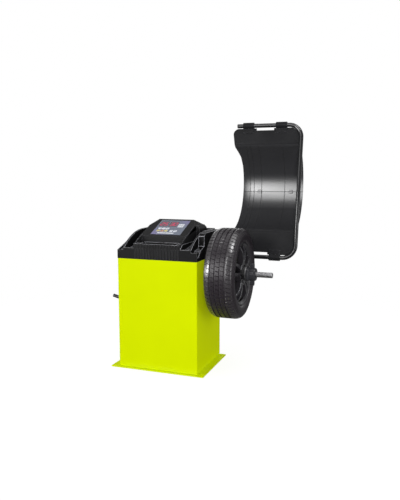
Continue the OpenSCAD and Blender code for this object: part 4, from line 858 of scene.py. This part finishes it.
# %% Dress the CAD pieces
SLOTS = {row["node"]: row["material_slot"] for row in frame["record"]["subparts"]}
BODY_OF = {}
for body, nodes in frame["record"]["behaviour"]["bodies"].items():
    BODY_OF.update({node: body for node in nodes})
for node, slot in SLOTS.items():
    frame["nodes"][node].data.materials.clear()
    frame["nodes"][node].data.materials.append(FINISHES[slot])
print("finishes", len(FINISHES), "given to", len(SLOTS), "nodes")

# %% [markdown]
# ## Pieces and their shading
# A new piece is a mesh that rides on a CAD body and takes its finishes. Its faces are shaded
# smooth, but an edge over a set angle stays hard, because a crisp fold that is shaded round looks like soap.

# %% A mesh as a riding piece
HARD_FROM = math.radians(46)


def as_mesh(work, name):
    """The worked faces as a mesh, with the work put away."""
    mesh = bpy.data.meshes.new(name)
    work.to_mesh(mesh)
    work.free()
    return mesh


def make_piece(name, mesh, body, materials):
    """A mesh as a named piece that rides on a CAD body."""
    for material in materials:
        mesh.materials.append(material)
    piece = bpy.data.objects.new(name, mesh)
    bpy.context.scene.collection.objects.link(piece)
    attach(piece, body)
    return piece


def shade(work, hard_from=HARD_FROM):
    """Smooth faces, with the sharper edges kept hard."""
    for face in work.faces:
        face.smooth = True
    for edge in work.edges:
        if len(edge.link_faces) == 2:
            edge.smooth = edge.calc_face_angle(0.0) < hard_from


print("edges stay hard from", round(math.degrees(HARD_FROM)), "degrees")

# %% [markdown]
# ## Rounding an edge
# No real edge is a knife edge: a fold has a bend, a moulding has a radius, a turned part has its burr
# taken off. A modifier could round every edge of a piece. Done on the mesh, the bevel takes a list of edges,
# so only those sharper than a set angle are rounded, and the new faces can have a finish of their own.

# %% Bevel the sharp edges
BEVEL_FROM = math.radians(28)


def is_sharp(edge):
    return len(edge.link_faces) == 2 and edge.calc_face_angle(0.0) > BEVEL_FROM


def bevel(work, edges, width, segments, material=-1):
    """Round these edges. A material's number gives the new faces a finish of their own."""
    bmesh.ops.bevel(
        work,
        geom=edges,
        offset=width,
        offset_type="OFFSET",
        segments=segments,
        profile=0.5,
        affect="EDGES",
        clamp_overlap=False,
        material=material,
    )


print("edges are bevelled from", round(math.degrees(BEVEL_FROM)), "degrees")

# %% [markdown]
# ## A rounded copy
# The shapes of the CAD pieces are never changed. Their meshes come as triangles with the faces apart, and a
# bevel needs faces that share their edges. So a copy is made that stands for the piece: the faces are
# joined, the flat triangles merged, and the sharp edges bevelled. Weighted normals keep the large flats
# flat in the shading.

# %% Copy and round a CAD piece
FLAT_WITHIN = math.radians(0.4)
WELD = 0.004 * MM


def rounded_copy(node, width_mm, segments=2, extra=None):
    """A copy of a CAD node with joined faces and rounded edges, which stands for the node."""
    work = bmesh.new()
    work.from_mesh(frame["nodes"][node].data)
    bmesh.ops.remove_doubles(work, verts=work.verts, dist=WELD)
    bmesh.ops.dissolve_limit(work, angle_limit=FLAT_WITHIN, verts=work.verts, edges=work.edges)
    if width_mm:
        sharp = [edge for edge in work.edges if is_sharp(edge)]
        bevel(work, sharp, width_mm * MM, segments, 1 if extra else -1)
    shade(work)
    slot = SLOTS[node]
    materials = [FINISHES[slot]] + ([extra] if extra else [])
    piece = make_piece(node + "_rounded", as_mesh(work, node + "_mesh"), BODY_OF[node], materials)
    weigh = piece.modifiers.new("even_flats", "WEIGHTED_NORMAL")
    weigh.keep_sharp = True
    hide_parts(node)
    return piece


print("faces are joined within", round(WELD / MM, 4), "mm")

# %% [markdown]
# ## Rounding the plain pieces
# How round an edge is depends on how its piece is made and how thick it is: folded sheet and parts that
# hands hold are the roundest, and small collars and bolts the sharpest. So the pieces are listed by the
# width of their bevel in millimetres. The tube has no edge to round, and only has its faces joined.

# %% Round the plain pieces
ROUNDED = {
    1.2: ["cabinet", "cone_pegs", "quick_nut", "gauge_arm"],
    0.8: ["base_plate", "hood_bracket", "spindle_housing", "bearing_cap", "centring_cone", "backing_flange"],
    0.5: [
        "back_panel",
        "power_inlet",
        "switch_frame",
        "power_rocker",
        "gauge_guide",
        "gauge_rod",
        "tube_plug",
    ],
    0.4: ["stop_collar", "end_collar", "bracket_bolts", "panel_screws", "hood_bushes", "tyre_valve"],
    0.3: ["control_panel", "display_lenses"],
    0.0: ["hood_tube"],
}
for width, nodes in ROUNDED.items():
    for node in nodes:
        rounded_copy(node, width, 3 if width > 1 else 2)
print("rounded", sum(len(nodes) for nodes in ROUNDED.values()), "pieces")

# %% [markdown]
# ## Rims as wide as they have room
# The tray has thick lips beside thin dividers. One bevel width would either vanish on the lips or eat the
# dividers. So each sharp edge gets a weight from the narrower of its two faces, and a bevel modifier
# rounds it by that share. The new faces take the rubbed finish with its painted highlight, since rims are
# what hands touch.

# %% Round the tray
RIM_MM, RIM_SHARE, RIM_SEGMENTS = 2.4, 0.38, 3


def rounded_by_room(node, width_mm, extra):
    """A rounded copy whose edges are as wide as their faces have room for, with their own finish."""
    piece = rounded_copy(node, 0, 0, extra)
    work = bmesh.new()
    work.from_mesh(piece.data)
    weight = work.edges.layers.float.new("bevel_weight_edge")
    for edge in work.edges:
        if is_sharp(edge):
            room = min(f.calc_area() / max(e.calc_length() for e in f.edges) for f in edge.link_faces)
            edge[weight] = min(1.0, RIM_SHARE * room / (width_mm * MM))
    work.to_mesh(piece.data)
    work.free()
    soften = piece.modifiers.new("soft_edges", "BEVEL")
    soften.limit_method = "WEIGHT"
    soften.width = width_mm * MM
    soften.segments = RIM_SEGMENTS
    soften.use_clamp_overlap = False
    soften.material = 1
    piece.modifiers.move(1, 0)
    return piece


tray = rounded_by_room("weight_tray", RIM_MM, RUBBED_HIGHLIT)
print("tray", len(tray.data.polygons), "faces before its bevel")

# %% [markdown]
# ## Pieces with a finish of their own
# The console gets a paler copy of the tray's finish, as painted light, though both are of one slot. The
# hood's clips have dull edges on a glossy face, and the rim has machined edges on a painted one. Such a
# piece is rounded like the rest, and gets another finish in place of its slot's own, or a second one for
# its edges.

# %% Round the console, the hood, the keys and the rim
CONSOLE_EDGE, SHELL_EDGE, KEY_EDGE, RIM_EDGE = 2.0, 0.8, 0.9, 1.6
CLIP_EDGES = {"hood_clips": 0.8, "seam_clips": 2.2}
KEY_COUNT = len(KEY_PLACES)
# The console takes the paler copy, as painted light.
rounded_copy("console_housing", CONSOLE_EDGE, 3).data.materials[0] = CONSOLE
for shell in ("hood_upper_shell", "hood_lower_shell"):
    rounded_copy(shell, SHELL_EDGE)
for clip, width in CLIP_EDGES.items():
    clips = rounded_copy(clip, width, 2, FINISHES["tray_plastic"])
    clips.data.materials[0] = FINISHES["hood_plastic"]
for key in range(1, KEY_COUNT + 1):
    rounded_copy(f"key_{key}", KEY_EDGE, 3)
rounded_copy("wheel_rim", RIM_EDGE, 2, MACHINED)

# %% [markdown]
# ## The tray's apron
# In the middle of its front the tray rises to the height of the shelf, and the upright ribs stand on that
# raised apron. It could be a box, but its ends slope and its top is rubbed and given painted highlight like
# the tray's other rims. So its outline is drawn in the plane of the front, pushed back by the wall, and
# bevelled with the rubbed finish and its painted highlight on the bevels.

# %% Raise the apron behind the ribs
RIB_OUT, APRON_BEHIND = 2 * MM, 0.1 * MM
APRON_HALF, APRON_SLOPE = 160 * MM, 10 * MM
APRON_DROP, APRON_THICK, APRON_EDGE = 36 * MM, 4 * MM, 1.2 * MM


def tray_apron():
    """A plate with sloping ends, from inside the tray's front lip up to the shelf."""
    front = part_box("weight_tray")[0][1] + RIB_OUT + APRON_BEHIND
    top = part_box("console_housing")[0][2]
    low, foot = top - APRON_DROP, APRON_HALF + APRON_SLOPE
    outline = [(-foot, low), (foot, low), (APRON_HALF, top), (-APRON_HALF, top)]
    work = bmesh.new()
    near = [work.verts.new((x, front, z)) for x, z in outline]
    far = [work.verts.new((x, front + APRON_THICK, z)) for x, z in outline]
    work.faces.new(near)
    work.faces.new(list(reversed(far)))
    for i in range(len(outline)):
        j = (i + 1) % len(outline)
        work.faces.new((near[j], near[i], far[i], far[j]))
    rims = [edge for edge in work.edges if all(v.co.z > top - APRON_DROP / 2 for v in edge.verts)]
    bevel(work, rims, APRON_EDGE, 3, 1)
    bmesh.ops.recalc_face_normals(work, faces=work.faces)
    shade(work)
    mesh = as_mesh(work, "apron_mesh")
    materials = [FINISHES["tray_plastic"], RUBBED_HIGHLIT]
    return make_piece("tray_apron", mesh, BODY_OF["weight_tray"], materials)


apron = tray_apron()
print("apron", len(apron.data.polygons), "faces")

# %% [markdown]
# ## Turning a section round an axis
# The tyre and the shaft are turned shapes: one section, swept round the spindle. Blender's screw modifier
# keeps one section for the whole turn. This helper takes a section for each angle, so that a tread block
# or a screw thread is only a section that changes with the angle.

# %% A section round the spindle
TURN = 2 * math.pi


def swept(sections, closed_section, lean=0.0, middle_x=0.0):
    """A mesh from sections of (x, radius) points in metres, one for each angle of a full turn.

    A lean, in radians for each metre of x, slants whatever runs across the section.
    """
    work = bmesh.new()
    rows = []
    for angle, points in sections:
        row = []
        for x, r in points:
            slanted = angle + lean * (x - middle_x)
            y, z = SPINDLE_Y + r * math.sin(slanted), SPINDLE_Z - r * math.cos(slanted)
            row.append(work.verts.new((x, y, z)))
        rows.append(row)
    count = len(rows[0])
    last = count if closed_section else count - 1
    for i, row in enumerate(rows):
        after = rows[(i + 1) % len(rows)]
        for j in range(last):
            k = (j + 1) % count
            work.faces.new((row[j], after[j], after[k], row[k]))
    if not closed_section:
        work.faces.new([row[0] for row in rows])
        work.faces.new([row[-1] for row in reversed(rows)])
    bmesh.ops.recalc_face_normals(work, faces=work.faces)
    return work


print("spindle at y", SPINDLE_Y, "z", SPINDLE_Z)

# %% [markdown]
# ## The tread
# A road tyre has four grooves round it, thin cuts across the ribs and wide slots between the shoulder
# blocks. One tread pitch is a row of stations round the tyre. At most of them the section is plain, and at
# a few it is pressed inwards to make a cut or a slot. Texture alone would leave the outline smooth.

# %% Half a section across the tread
CROWN_R, CROWN_DROP = 297.9, 0.5
SHOULDER_X, SHOULDER_WIDE, SHOULDER_HIGH = 50.5, 42.1, 23.3
GROOVES, GROOVE_W, GROOVE_D, GROOVE_FLANK = (16, 46), 9, 7.6, 1
PITCHES, PITCH_STOPS = 66, (0.0, 0.05, 0.12, 0.19, 0.40, 0.43, 0.57, 0.60)
CUT_D, CUT_STOP, MIDDLE_CUT_STOP = 3.4, 2, 6


def tread_points(station):
    """From the tread's middle to the shoulder block, in millimetres."""
    points = [(0.0, CROWN_R - (CUT_D if station == MIDDLE_CUT_STOP else 0))]
    stop = MIDDLE_CUT_STOP
    edge, floor_edge = GROOVE_W / 2, GROOVE_W / 2 - GROOVE_FLANK
    for groove in GROOVES:
        for shift, drop in ((-edge, 0), (-floor_edge, GROOVE_D), (floor_edge, GROOVE_D), (edge, 0)):
            top = CROWN_R - CROWN_DROP * ((groove + shift) / SHOULDER_X) ** 2
            if shift == edge:
                stop = CUT_STOP
            cut_here = CUT_D if drop == 0 and station == stop else 0
            points.append((groove + shift, top - drop - cut_here))
    return points


print("tread", len(tread_points(0)), "points to a half,", PITCHES, "pitches of", len(PITCH_STOPS), "stations")

# %% [markdown]
# ## The shoulder and the sidewall
# The shoulder turns down in an arc and carries the wide slots, which fade out at both of its ends. The
# sidewall is a second arc down to the bead, with raised rings and a band of fine teeth, as moulds leave
# them. The rings are given as angles along that arc with a height, so they stay round the wall.

# %% Half a section down the wall
SHOULDER_TURNS = (5, 11, 17, 24, 31, 39, 47, 55, 64, 73)
SLOT_D, SLOT_STOPS, SLOT_IN, SLOT_OUT = 5.6, (5, 6), 8, 14
WALL_X, WALL_C, WALL_R = 48, 243.5, 51.6
WALL_STEPS = [(34, 0), (31.6, 0), (31, 0.7), (29.4, 0.7), (28.8, 0), (27, 0), (22, 0)]
WALL_STEPS += [(20.4, 0), (19.8, 0.8), (18.4, 0.8), (17.8, 0), (8, 0), (0, 0), (-9, 0)]
WALL_STEPS += [(-16, 0), (-17, 0.9), (-19.6, 0.9), (-20.6, 0), (-28, 0), (-37, 0)]
TOOTH_D, TOOTH_FROM, TOOTH_TO = 0.5, 21, 28
BEAD = [(82.0, 208.6), (76.0, 208.0), (75.4, 206.0), (75.4, 191.2)]
LINER = [(61, 191.2), (60, 204), (82, 226), (87, 246), (84, 268), (72, 282), (30, 284)]


def shoulder_point(degrees, station):
    """A point on the arc from the tread down to the sidewall."""
    fade = min(1.0, (SHOULDER_TURNS[-1] - degrees) / SLOT_OUT, (degrees - SHOULDER_TURNS[0]) / SLOT_IN)
    slot = SLOT_D * fade if station in SLOT_STOPS else 0
    angle = math.radians(degrees)
    fall = slot + (SHOULDER_HIGH - slot) * (1 - math.cos(angle))
    return SHOULDER_X + (SHOULDER_WIDE - slot) * math.sin(angle), CROWN_R - CROWN_DROP - fall


def wall_point(degrees, raised_by, station):
    """A point on the sidewall's arc, raised on a ring and lowered between two teeth."""
    tooth = TOOTH_D if TOOTH_FROM < degrees < TOOTH_TO and station % 2 else 0
    angle = math.radians(degrees)
    radius = WALL_R + raised_by - tooth
    return WALL_X + radius * math.cos(angle), WALL_C + radius * math.sin(angle)


def wall_points(station):
    """From the shoulder block over the sidewall to the bead, in millimetres."""
    shoulder = [shoulder_point(degrees, station) for degrees in SHOULDER_TURNS]
    wall = [wall_point(degrees, raised_by, station) for degrees, raised_by in WALL_STEPS]
    return shoulder + wall + BEAD


print("wall", len(wall_points(0)), "points to a half")

# %% [markdown]
# ## Moulding the tyre
# The half section is mirrored, closed by the liner inside, and swept round at every station. The whole
# tread leans a little, as its blocks do on the road.

# %% Mould the tyre
BLOCK_LEAN = 0.8
TYRE_HARD_FROM = math.radians(38)


def mirrored(points):
    return [(-x, r) for x, r in reversed(points)]


def tyre_section(station):
    """The closed section at one station of a tread pitch, in metres."""
    half = tread_points(station) + wall_points(station)
    shaped = mirrored(half[1:]) + half + LINER + mirrored(LINER)
    return [(WHEEL_X + x * MM, r * MM) for x, r in shaped]


sections = [
    (TURN * (pitch + stop) / PITCHES, tyre_section(station))
    for pitch in range(PITCHES)
    for station, stop in enumerate(PITCH_STOPS)
]
work = swept(sections, True, BLOCK_LEAN, WHEEL_X)
shade(work, TYRE_HARD_FROM)
mesh = as_mesh(work, "tyre_mesh")
tyre = make_piece("tyre_moulded", mesh, "spindle", [FINISHES["tyre_rubber"]])
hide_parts("tyre")
print("tyre", len(mesh.vertices), "points,", PITCHES, "pitches")

# %% [markdown]
# ## The shaft's outline
# The turned outline of the shaft is already in the CAD mesh. Reading it back from the mesh's corners, from
# one end to the other, keeps every shoulder where the CAD has it. Where two corners share an x, the one
# nearer to the last radius comes first, which makes a clean step.

# %% Read the outline
BORE_R = 1 * MM


def turned_outline(node):
    """The (x, radius) corners of a turned CAD node, from one end to the other."""
    found = {
        (round(v.co.x, 5), round(math.hypot(v.co.y - SPINDLE_Y, v.co.z - SPINDLE_Z), 5))
        for v in frame["nodes"][node].data.vertices
    }
    ordered = []
    for x in sorted({corner[0] for corner in found}):
        radii = sorted(r for corner_x, r in found if corner_x == x and r > BORE_R)
        if ordered and len(radii) > 1:
            last = ordered[-1][1]
            if abs(radii[-1] - last) < abs(radii[0] - last):
                radii.reverse()
        for r in (radii[0], radii[-1]) if len(radii) > 1 else radii:
            ordered.append((x, r))
    return ordered


outline = turned_outline("main_shaft")
print("shaft outline", len(outline), "corners")

# %% [markdown]
# ## The threaded spindle
# The quick nut grips a coarse thread on the free end of the shaft. Beyond the wheel's seat the radius
# follows a trapezium that climbs one pitch in each turn, and fades at both ends as a cut thread runs out.
# A bump map would leave the shaft's outline smooth, so the thread is cut in the mesh.

# %% Cut the thread
THREAD_PITCH, THREAD_DEPTH, THREAD_STEP = 5 * MM, 1.5 * MM, 0.55 * MM
THREAD_FROM, THREAD_TO = 0.545, outline[-1][0] - 7 * MM
FLANK_SLOPE, FLANK_START = 5, 0.75
SHAFT_SIDES = 72
SHAFT_HARD_FROM = math.radians(35)


def thread_drop(x, angle):
    """How far the thread lies below the shaft's surface at one place."""
    phase = ((x - THREAD_FROM) / THREAD_PITCH - angle / TURN) % 1.0
    ramp = min(1.0, max(0.0, abs(phase - 0.5) * FLANK_SLOPE - FLANK_START))
    ends = min(1.0, (x - THREAD_FROM) / (2 * THREAD_PITCH), (THREAD_TO - x) / THREAD_PITCH)
    return THREAD_DEPTH * (1 - ramp) * max(0.0, ends)


free_end = [corner for corner in outline if corner[0] > THREAD_TO]
seat_side = [corner for corner in outline if corner[0] < THREAD_FROM]
thread_r = seat_side[-1][1]
steps = int((THREAD_TO - THREAD_FROM) / THREAD_STEP)
stations = [THREAD_FROM + (THREAD_TO - THREAD_FROM) * i / steps for i in range(steps + 1)]
sections = []
for side in range(SHAFT_SIDES):
    angle = TURN * side / SHAFT_SIDES
    thread = [(x, thread_r - thread_drop(x, angle)) for x in stations]
    sections.append((angle, seat_side + thread + free_end))
work = swept(sections, False)
shade(work, SHAFT_HARD_FROM)
mesh = as_mesh(work, "shaft_mesh")
shaft = make_piece("shaft_threaded", mesh, "spindle", [FINISHES["bright_steel"]])
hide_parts("main_shaft")
print("thread of", round((THREAD_TO - THREAD_FROM) / THREAD_PITCH), "turns")

# %% [markdown]
# ## Plates on the panel
# Digits and key symbols are thin flat shapes on a sloping face. They could be part of the shader, but a lit
# digit has to glow and a key's symbol has to move with its key. So each is a plate of its own, drawn with
# the panel's two lengths and raised by a fraction of a millimetre.

# %% A thin plate on the panel


def on_panel(u, v, out=0.0):
    """A point in the frame from across, up and out of the panel's face."""
    cos, sin = math.cos(PANEL_TILT), math.sin(PANEL_TILT)
    return Vector((PANEL_X + u, PANEL_Y + v * cos - out * sin, PANEL_Z + v * sin + out * cos))


def raised(work, outline_uv, low, high):
    """A thin plate on the panel with this outline, from one height to another."""
    base = [work.verts.new(on_panel(u, v, low)) for u, v in outline_uv]
    top = [work.verts.new(on_panel(u, v, high)) for u, v in outline_uv]
    work.faces.new(top)
    work.faces.new(list(reversed(base)))
    for i in range(len(base)):
        j = (i + 1) % len(base)
        work.faces.new((base[i], base[j], top[j], top[i]))


print("middle of the displays", [round(value, 3) for value in on_panel(sum(DISPLAY_U) / 2, DISPLAY_V)])

# %% [markdown]
# ## The shape of a digit
# A seven-segment digit is built from bars with pointed ends, and it leans a little, as it does on such
# modules. Each figure is a string of the bars that are lit, and each bar has two ends in the digit's box.

# %% Bars of a digit
SEGMENTS = {"0": "abcdef", "2": "abged", "3": "abgcd", "5": "afgcd"}
DIGIT_HALF_W, DIGIT_HALF_H = 10.5 * MM, 20 * MM
STROKE, POINT_GAP = 4.2 * MM, 0.12
DIGIT_LEAN = 0.09
LENS_FACE, DIGIT_RISE = -0.5 * MM, 0.12 * MM
LEFT, RIGHT, LOW_END, HIGH_END = -DIGIT_HALF_W, DIGIT_HALF_W, -DIGIT_HALF_H, DIGIT_HALF_H
BAR_ENDS = {
    "a": ((LEFT, HIGH_END), (RIGHT, HIGH_END)),
    "b": ((RIGHT, 0), (RIGHT, HIGH_END)),
    "c": ((RIGHT, LOW_END), (RIGHT, 0)),
    "d": ((LEFT, LOW_END), (RIGHT, LOW_END)),
    "e": ((LEFT, LOW_END), (LEFT, 0)),
    "f": ((LEFT, 0), (LEFT, HIGH_END)),
    "g": ((LEFT, 0), (RIGHT, 0)),
}


def segment_outline(start, end):
    """The six corners of a bar with pointed ends."""
    along = (end - start).normalized()
    side = Vector((-along.y, along.x)) * STROKE / 2
    start, end = start + along * STROKE * POINT_GAP, end - along * STROKE * POINT_GAP
    neck = along * STROKE / 2
    return [start, start + neck - side, end - neck - side, end, end - neck + side, start + neck + side]


def digit(work, text, middle_u, middle_v):
    """One lit figure on the lens, with its middle at this place on the panel."""
    for letter in SEGMENTS[text]:
        start, end = (Vector(point) for point in BAR_ENDS[letter])
        leaning = [
            (middle_u + p.x + p.y * DIGIT_LEAN, middle_v + p.y) for p in segment_outline(start, end)
        ]
        raised(work, leaning, LENS_FACE, LENS_FACE + DIGIT_RISE)


print("a bar is", round(STROKE / MM, 1), "mm wide")

# %% [markdown]
# ## Digits on the displays
# Each display is a smoky lens with two lit red figures on its face. The numbers are any imbalance in grams.
# The light of a segment comes from its own emission, strong enough to read and too weak to light the room.

# %% Light the digits
SHOWN = ("25", "30")
DIGIT_SHIFTS = (-14 * MM, 14 * MM)
lit = Finish("lit_segment", Emission_Strength=0.42, Specular_IOR_Level=0.3)
cloud = lit.noise(6, 3)
lit.set(
    Base_Color=lit.mix(cloud, rgb("b01c44"), rgb("c03058")),
    Roughness=0.4 + cloud * 0.1,
    Emission_Color=lit.mix(cloud, rgb("dc0c48"), rgb("f42866")),
)
lit.bump(cloud, 0.02, 0.2)
work = bmesh.new()
for display_u, number in zip(DISPLAY_U, SHOWN):
    for shift, text in zip(DIGIT_SHIFTS, number):
        digit(work, text, display_u + shift, DISPLAY_V)
mesh = as_mesh(work, "digits_mesh")
make_piece("display_digits", mesh, "machine", [lit.material])
print("digits", len(mesh.polygons), "faces")

# %% [markdown]
# ## Marks on the keys
# A key's symbol is a thin layer of ink on its cap, and moves with the key. Arrows step a value up and
# down, a disc starts a run, bars choose a weight's place. They are plain shapes, so three small functions
# and a list of what stands on each key are enough.

# %% Draw the symbols


def arrow(size, down):
    sign = -1 if down else 1
    return [(-size, -sign * size * 0.7), (size, -sign * size * 0.7), (0, sign * size)][::sign]


def bar(width, height, shift_u=0.0, shift_v=0.0):
    w, h = width / 2, height / 2
    return [(shift_u + a, shift_v + b) for a, b in ((-w, -h), (w, -h), (w, h), (-w, h))]


def disc(radius, sides=28):
    angles = [TURN * i / sides for i in range(sides)]
    return [(radius * math.cos(angle), radius * math.sin(angle)) for angle in angles]


MARKS = [
    [arrow(4 * MM, False)],
    [arrow(4 * MM, True)],
    [bar(9 * MM, 2 * MM, 0, 2.4 * MM), bar(9 * MM, 2 * MM, 0, -2.4 * MM)],
    [bar(2.2 * MM, 10 * MM, -3 * MM), bar(2.2 * MM, 10 * MM, 3 * MM)],
    [disc(4.2 * MM)],
    [bar(10 * MM, 2.2 * MM), bar(2.2 * MM, 3.6 * MM, 0, 3.2 * MM), bar(2.2 * MM, 3.6 * MM, 0, -3.2 * MM)],
    [arrow(4.4 * MM, False)],
    [bar(7 * MM, 7 * MM)],
]
print("symbols for", len(MARKS), "keys")

# %% [markdown]
# ## Inking the keys
# The ink is a dark blue that thins a little from place to place. Each symbol is a piece of its own that
# rides on its key's body, so that it goes down with the cap when the key is pressed.

# %% Ink the keys
CAP_TOP, INK_RISE = 2.5 * MM, 0.06 * MM
ink = Finish("key_ink", Specular_IOR_Level=0.4)
cloud = ink.noise(3, 4)
ink.set(Base_Color=ink.mix(cloud, rgb("2a3550"), rgb("46527a")), Roughness=0.4 + cloud * 0.2)
ink.bump(cloud, 0.01, 0.2)
for i, ((key_u, key_v), shapes) in enumerate(zip(KEY_PLACES, MARKS), 1):
    work = bmesh.new()
    for shape in shapes:
        raised(work, [(key_u + u, key_v + v) for u, v in shape], CAP_TOP, CAP_TOP + INK_RISE)
    bmesh.ops.recalc_face_normals(work, faces=work.faces)
    mesh = as_mesh(work, f"mark_{i}_mesh")
    make_piece(f"key_mark_{i}", mesh, f"key_{i}", [ink.material])
print("key marks", len(MARKS))

# %% [markdown]
# ## The floor
# A product picture stands on a white sweep with no edge behind the machine. A plain white floor would light
# the machine from below and make its black plastic grey. So the floor glows white to the camera alone, is a
# mid grey to bounced light, and fades out into the white of the room.

# %% Lay the floor
FLOOR_HALF, FLOOR_CELLS = 9.0, 8
FADE_FROM, FADE_TO = 0.8, 2.8
floor_finish = Finish("studio_floor", Specular_IOR_Level=0.1, Emission_Strength=0.86)
x, y = floor_finish.axes()[:2]
cloud = floor_finish.noise(900, 3)
away = (x * x + y * y) ** 0.5
seen = floor_finish.node("ShaderNodeLightPath", {}, {}, "Is Camera Ray")
floor_finish.set(
    Base_Color=floor_finish.mix(cloud, rgb("808080"), rgb("7a7a7a")),
    Roughness=0.8 + cloud * 0.1,
    Alpha=1.0 - floor_finish.step(away, FADE_FROM, FADE_TO) * seen,
    Emission_Color=floor_finish.mix(seen, UNLIT, rgb("ffffff")),
)
work = bmesh.new()
bmesh.ops.create_grid(work, x_segments=FLOOR_CELLS, y_segments=FLOOR_CELLS, size=FLOOR_HALF)
mesh = as_mesh(work, "floor_mesh")
mesh.materials.append(floor_finish.material)
floor = bpy.data.objects.new("studio_floor", mesh)
bpy.context.scene.collection.objects.link(floor)
floor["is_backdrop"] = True
print("floor", 2 * FLOOR_HALF, "m wide, fading from", FADE_FROM, "m")

# %% [markdown]
# ## The room
# The room is white to the camera and dimmer to everything else, which keeps black plastic black. A light
# path node tells the two apart, and a map range turns its yes or no into the two strengths.

# %% Paint the room
ROOM_SEEN, ROOM_GLOW = 1.0, 0.42
world = bpy.data.worlds.new("studio_world")
world.use_nodes = True
nodes, links = world.node_tree.nodes, world.node_tree.links
background = nodes["Background"]
background.inputs["Color"].default_value = (1.0, 1.0, 1.0, 1.0)
path = nodes.new("ShaderNodeLightPath")
choose = nodes.new("ShaderNodeMapRange")
choose.inputs["To Min"].default_value = ROOM_GLOW
choose.inputs["To Max"].default_value = ROOM_SEEN
links.new(path.outputs["Is Camera Ray"], choose.inputs["Value"])
links.new(choose.outputs["Result"], background.inputs["Strength"])
bpy.context.scene.world = world
print("room", ROOM_SEEN, "to the camera,", ROOM_GLOW, "to the machine")

# %% [markdown]
# ## Soft boxes
# The key light is a box near the camera, and it is kept out of reflections so that flat faces stay even.
# Three boxes do the reverse: they light nothing and are only seen in glossy faces. The tall one in front
# draws the bright band across the hood's arch, the one high on the right draws the lines along the tube and
# the tyre's right shoulder, and the card on the left picks out the left shoulder. Weak fills at the left,
# the right and the back, and a wide box overhead, keep the other sides readable.

# %% Hang the lights


def soft_box(name, place, aim, width, height, power, hidden_from=""):
    light = bpy.data.lights.new(name, "AREA")
    light.shape = "RECTANGLE"
    light.size, light.size_y, light.energy = width, height, power
    lamp = bpy.data.objects.new(name, light)
    lamp.location = place
    lamp.rotation_euler = (Vector(aim) - Vector(place)).to_track_quat("-Z", "Y").to_euler()
    lamp.visible_diffuse = hidden_from != "diffuse"
    lamp.visible_glossy = hidden_from != "glossy"
    bpy.context.scene.collection.objects.link(lamp)
    return lamp


TO_WHEEL = (0.36, -0.3, 0.67)
LAMPS = [
    soft_box("front_box", (-0.55, -4.0, 2.5), (0.5, 0.6, 1.15), 1.05, 4.0, 59, "diffuse"),
    soft_box("left_box", (-2.69, -2.2, 1.05), TO_WHEEL, 3.0, 0.8, 46),
    soft_box("right_box", (2.0, -0.8, 4.6), (0.45, -0.1, 0.75), 2.0, 1.6, 88, "diffuse"),
    soft_box("left_card", (-1.75, -3.4, 1.7), TO_WHEEL, 1.1, 1.5, 106, "diffuse"),
    soft_box("side_fill", (3.6, -0.7, 0.9), (0.28, 0.0, 0.4), 2.0, 1.6, 23),
    soft_box("back_fill", (-0.6, 4.2, 1.4), (0.1, 0.2, 0.6), 3.4, 1.8, 16),
    soft_box("top_box", (0.2, 0.2, 4.8), (0.2, 0.0, 0.0), 4.0, 4.0, 60),
    soft_box("near_fill", (1.8, -4.2, 1.0), (0.3, 0.0, 0.7), 1.3, 1.3, 128, "glossy"),
]
print("lamps", len(LAMPS))

# %% [markdown]
# ## The camera
# The camera looks from the machine's front right, a little from above. Its place and its lens could be set
# by eye. They were fitted instead, until the edges of the cabinet and the hood lay on those of the
# photograph. The plain view transform keeps the lime as it is mixed.

# %% Set the camera
LENS_MM, SENSOR_MM = 40.29, 36.0
CAMERA_PLACE = (1.4862, -3.4935, 1.2869)
CAMERA_DOWN, CAMERA_LEFT = math.radians(7.64), math.radians(20.01)
camera_data = bpy.data.cameras.new("camera")
camera_data.lens, camera_data.sensor_width = LENS_MM, SENSOR_MM
camera = bpy.data.objects.new("camera", camera_data)
camera.location = CAMERA_PLACE
camera.rotation_euler = (math.pi / 2 - CAMERA_DOWN, 0.0, CAMERA_LEFT)
bpy.context.scene.collection.objects.link(camera)
bpy.context.scene.camera = camera
bpy.context.scene.view_settings.view_transform = "Standard"
print("camera", round(Vector(CAMERA_PLACE).length, 2), "m from the cabinet's middle on the floor")

# %% [markdown] ## Measuring The boxes of the CAD model and of the visible pieces are measured and printed.
# The rounded pieces must stay in the box of the CAD model.

# %% Compare the boxes
LOW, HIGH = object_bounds()
for name, low, high in (("cad", CAD_LOW, CAD_HIGH), ("visual", LOW, HIGH)):
    print(name, [round(b - a, 4) for a, b in zip(low, high)])
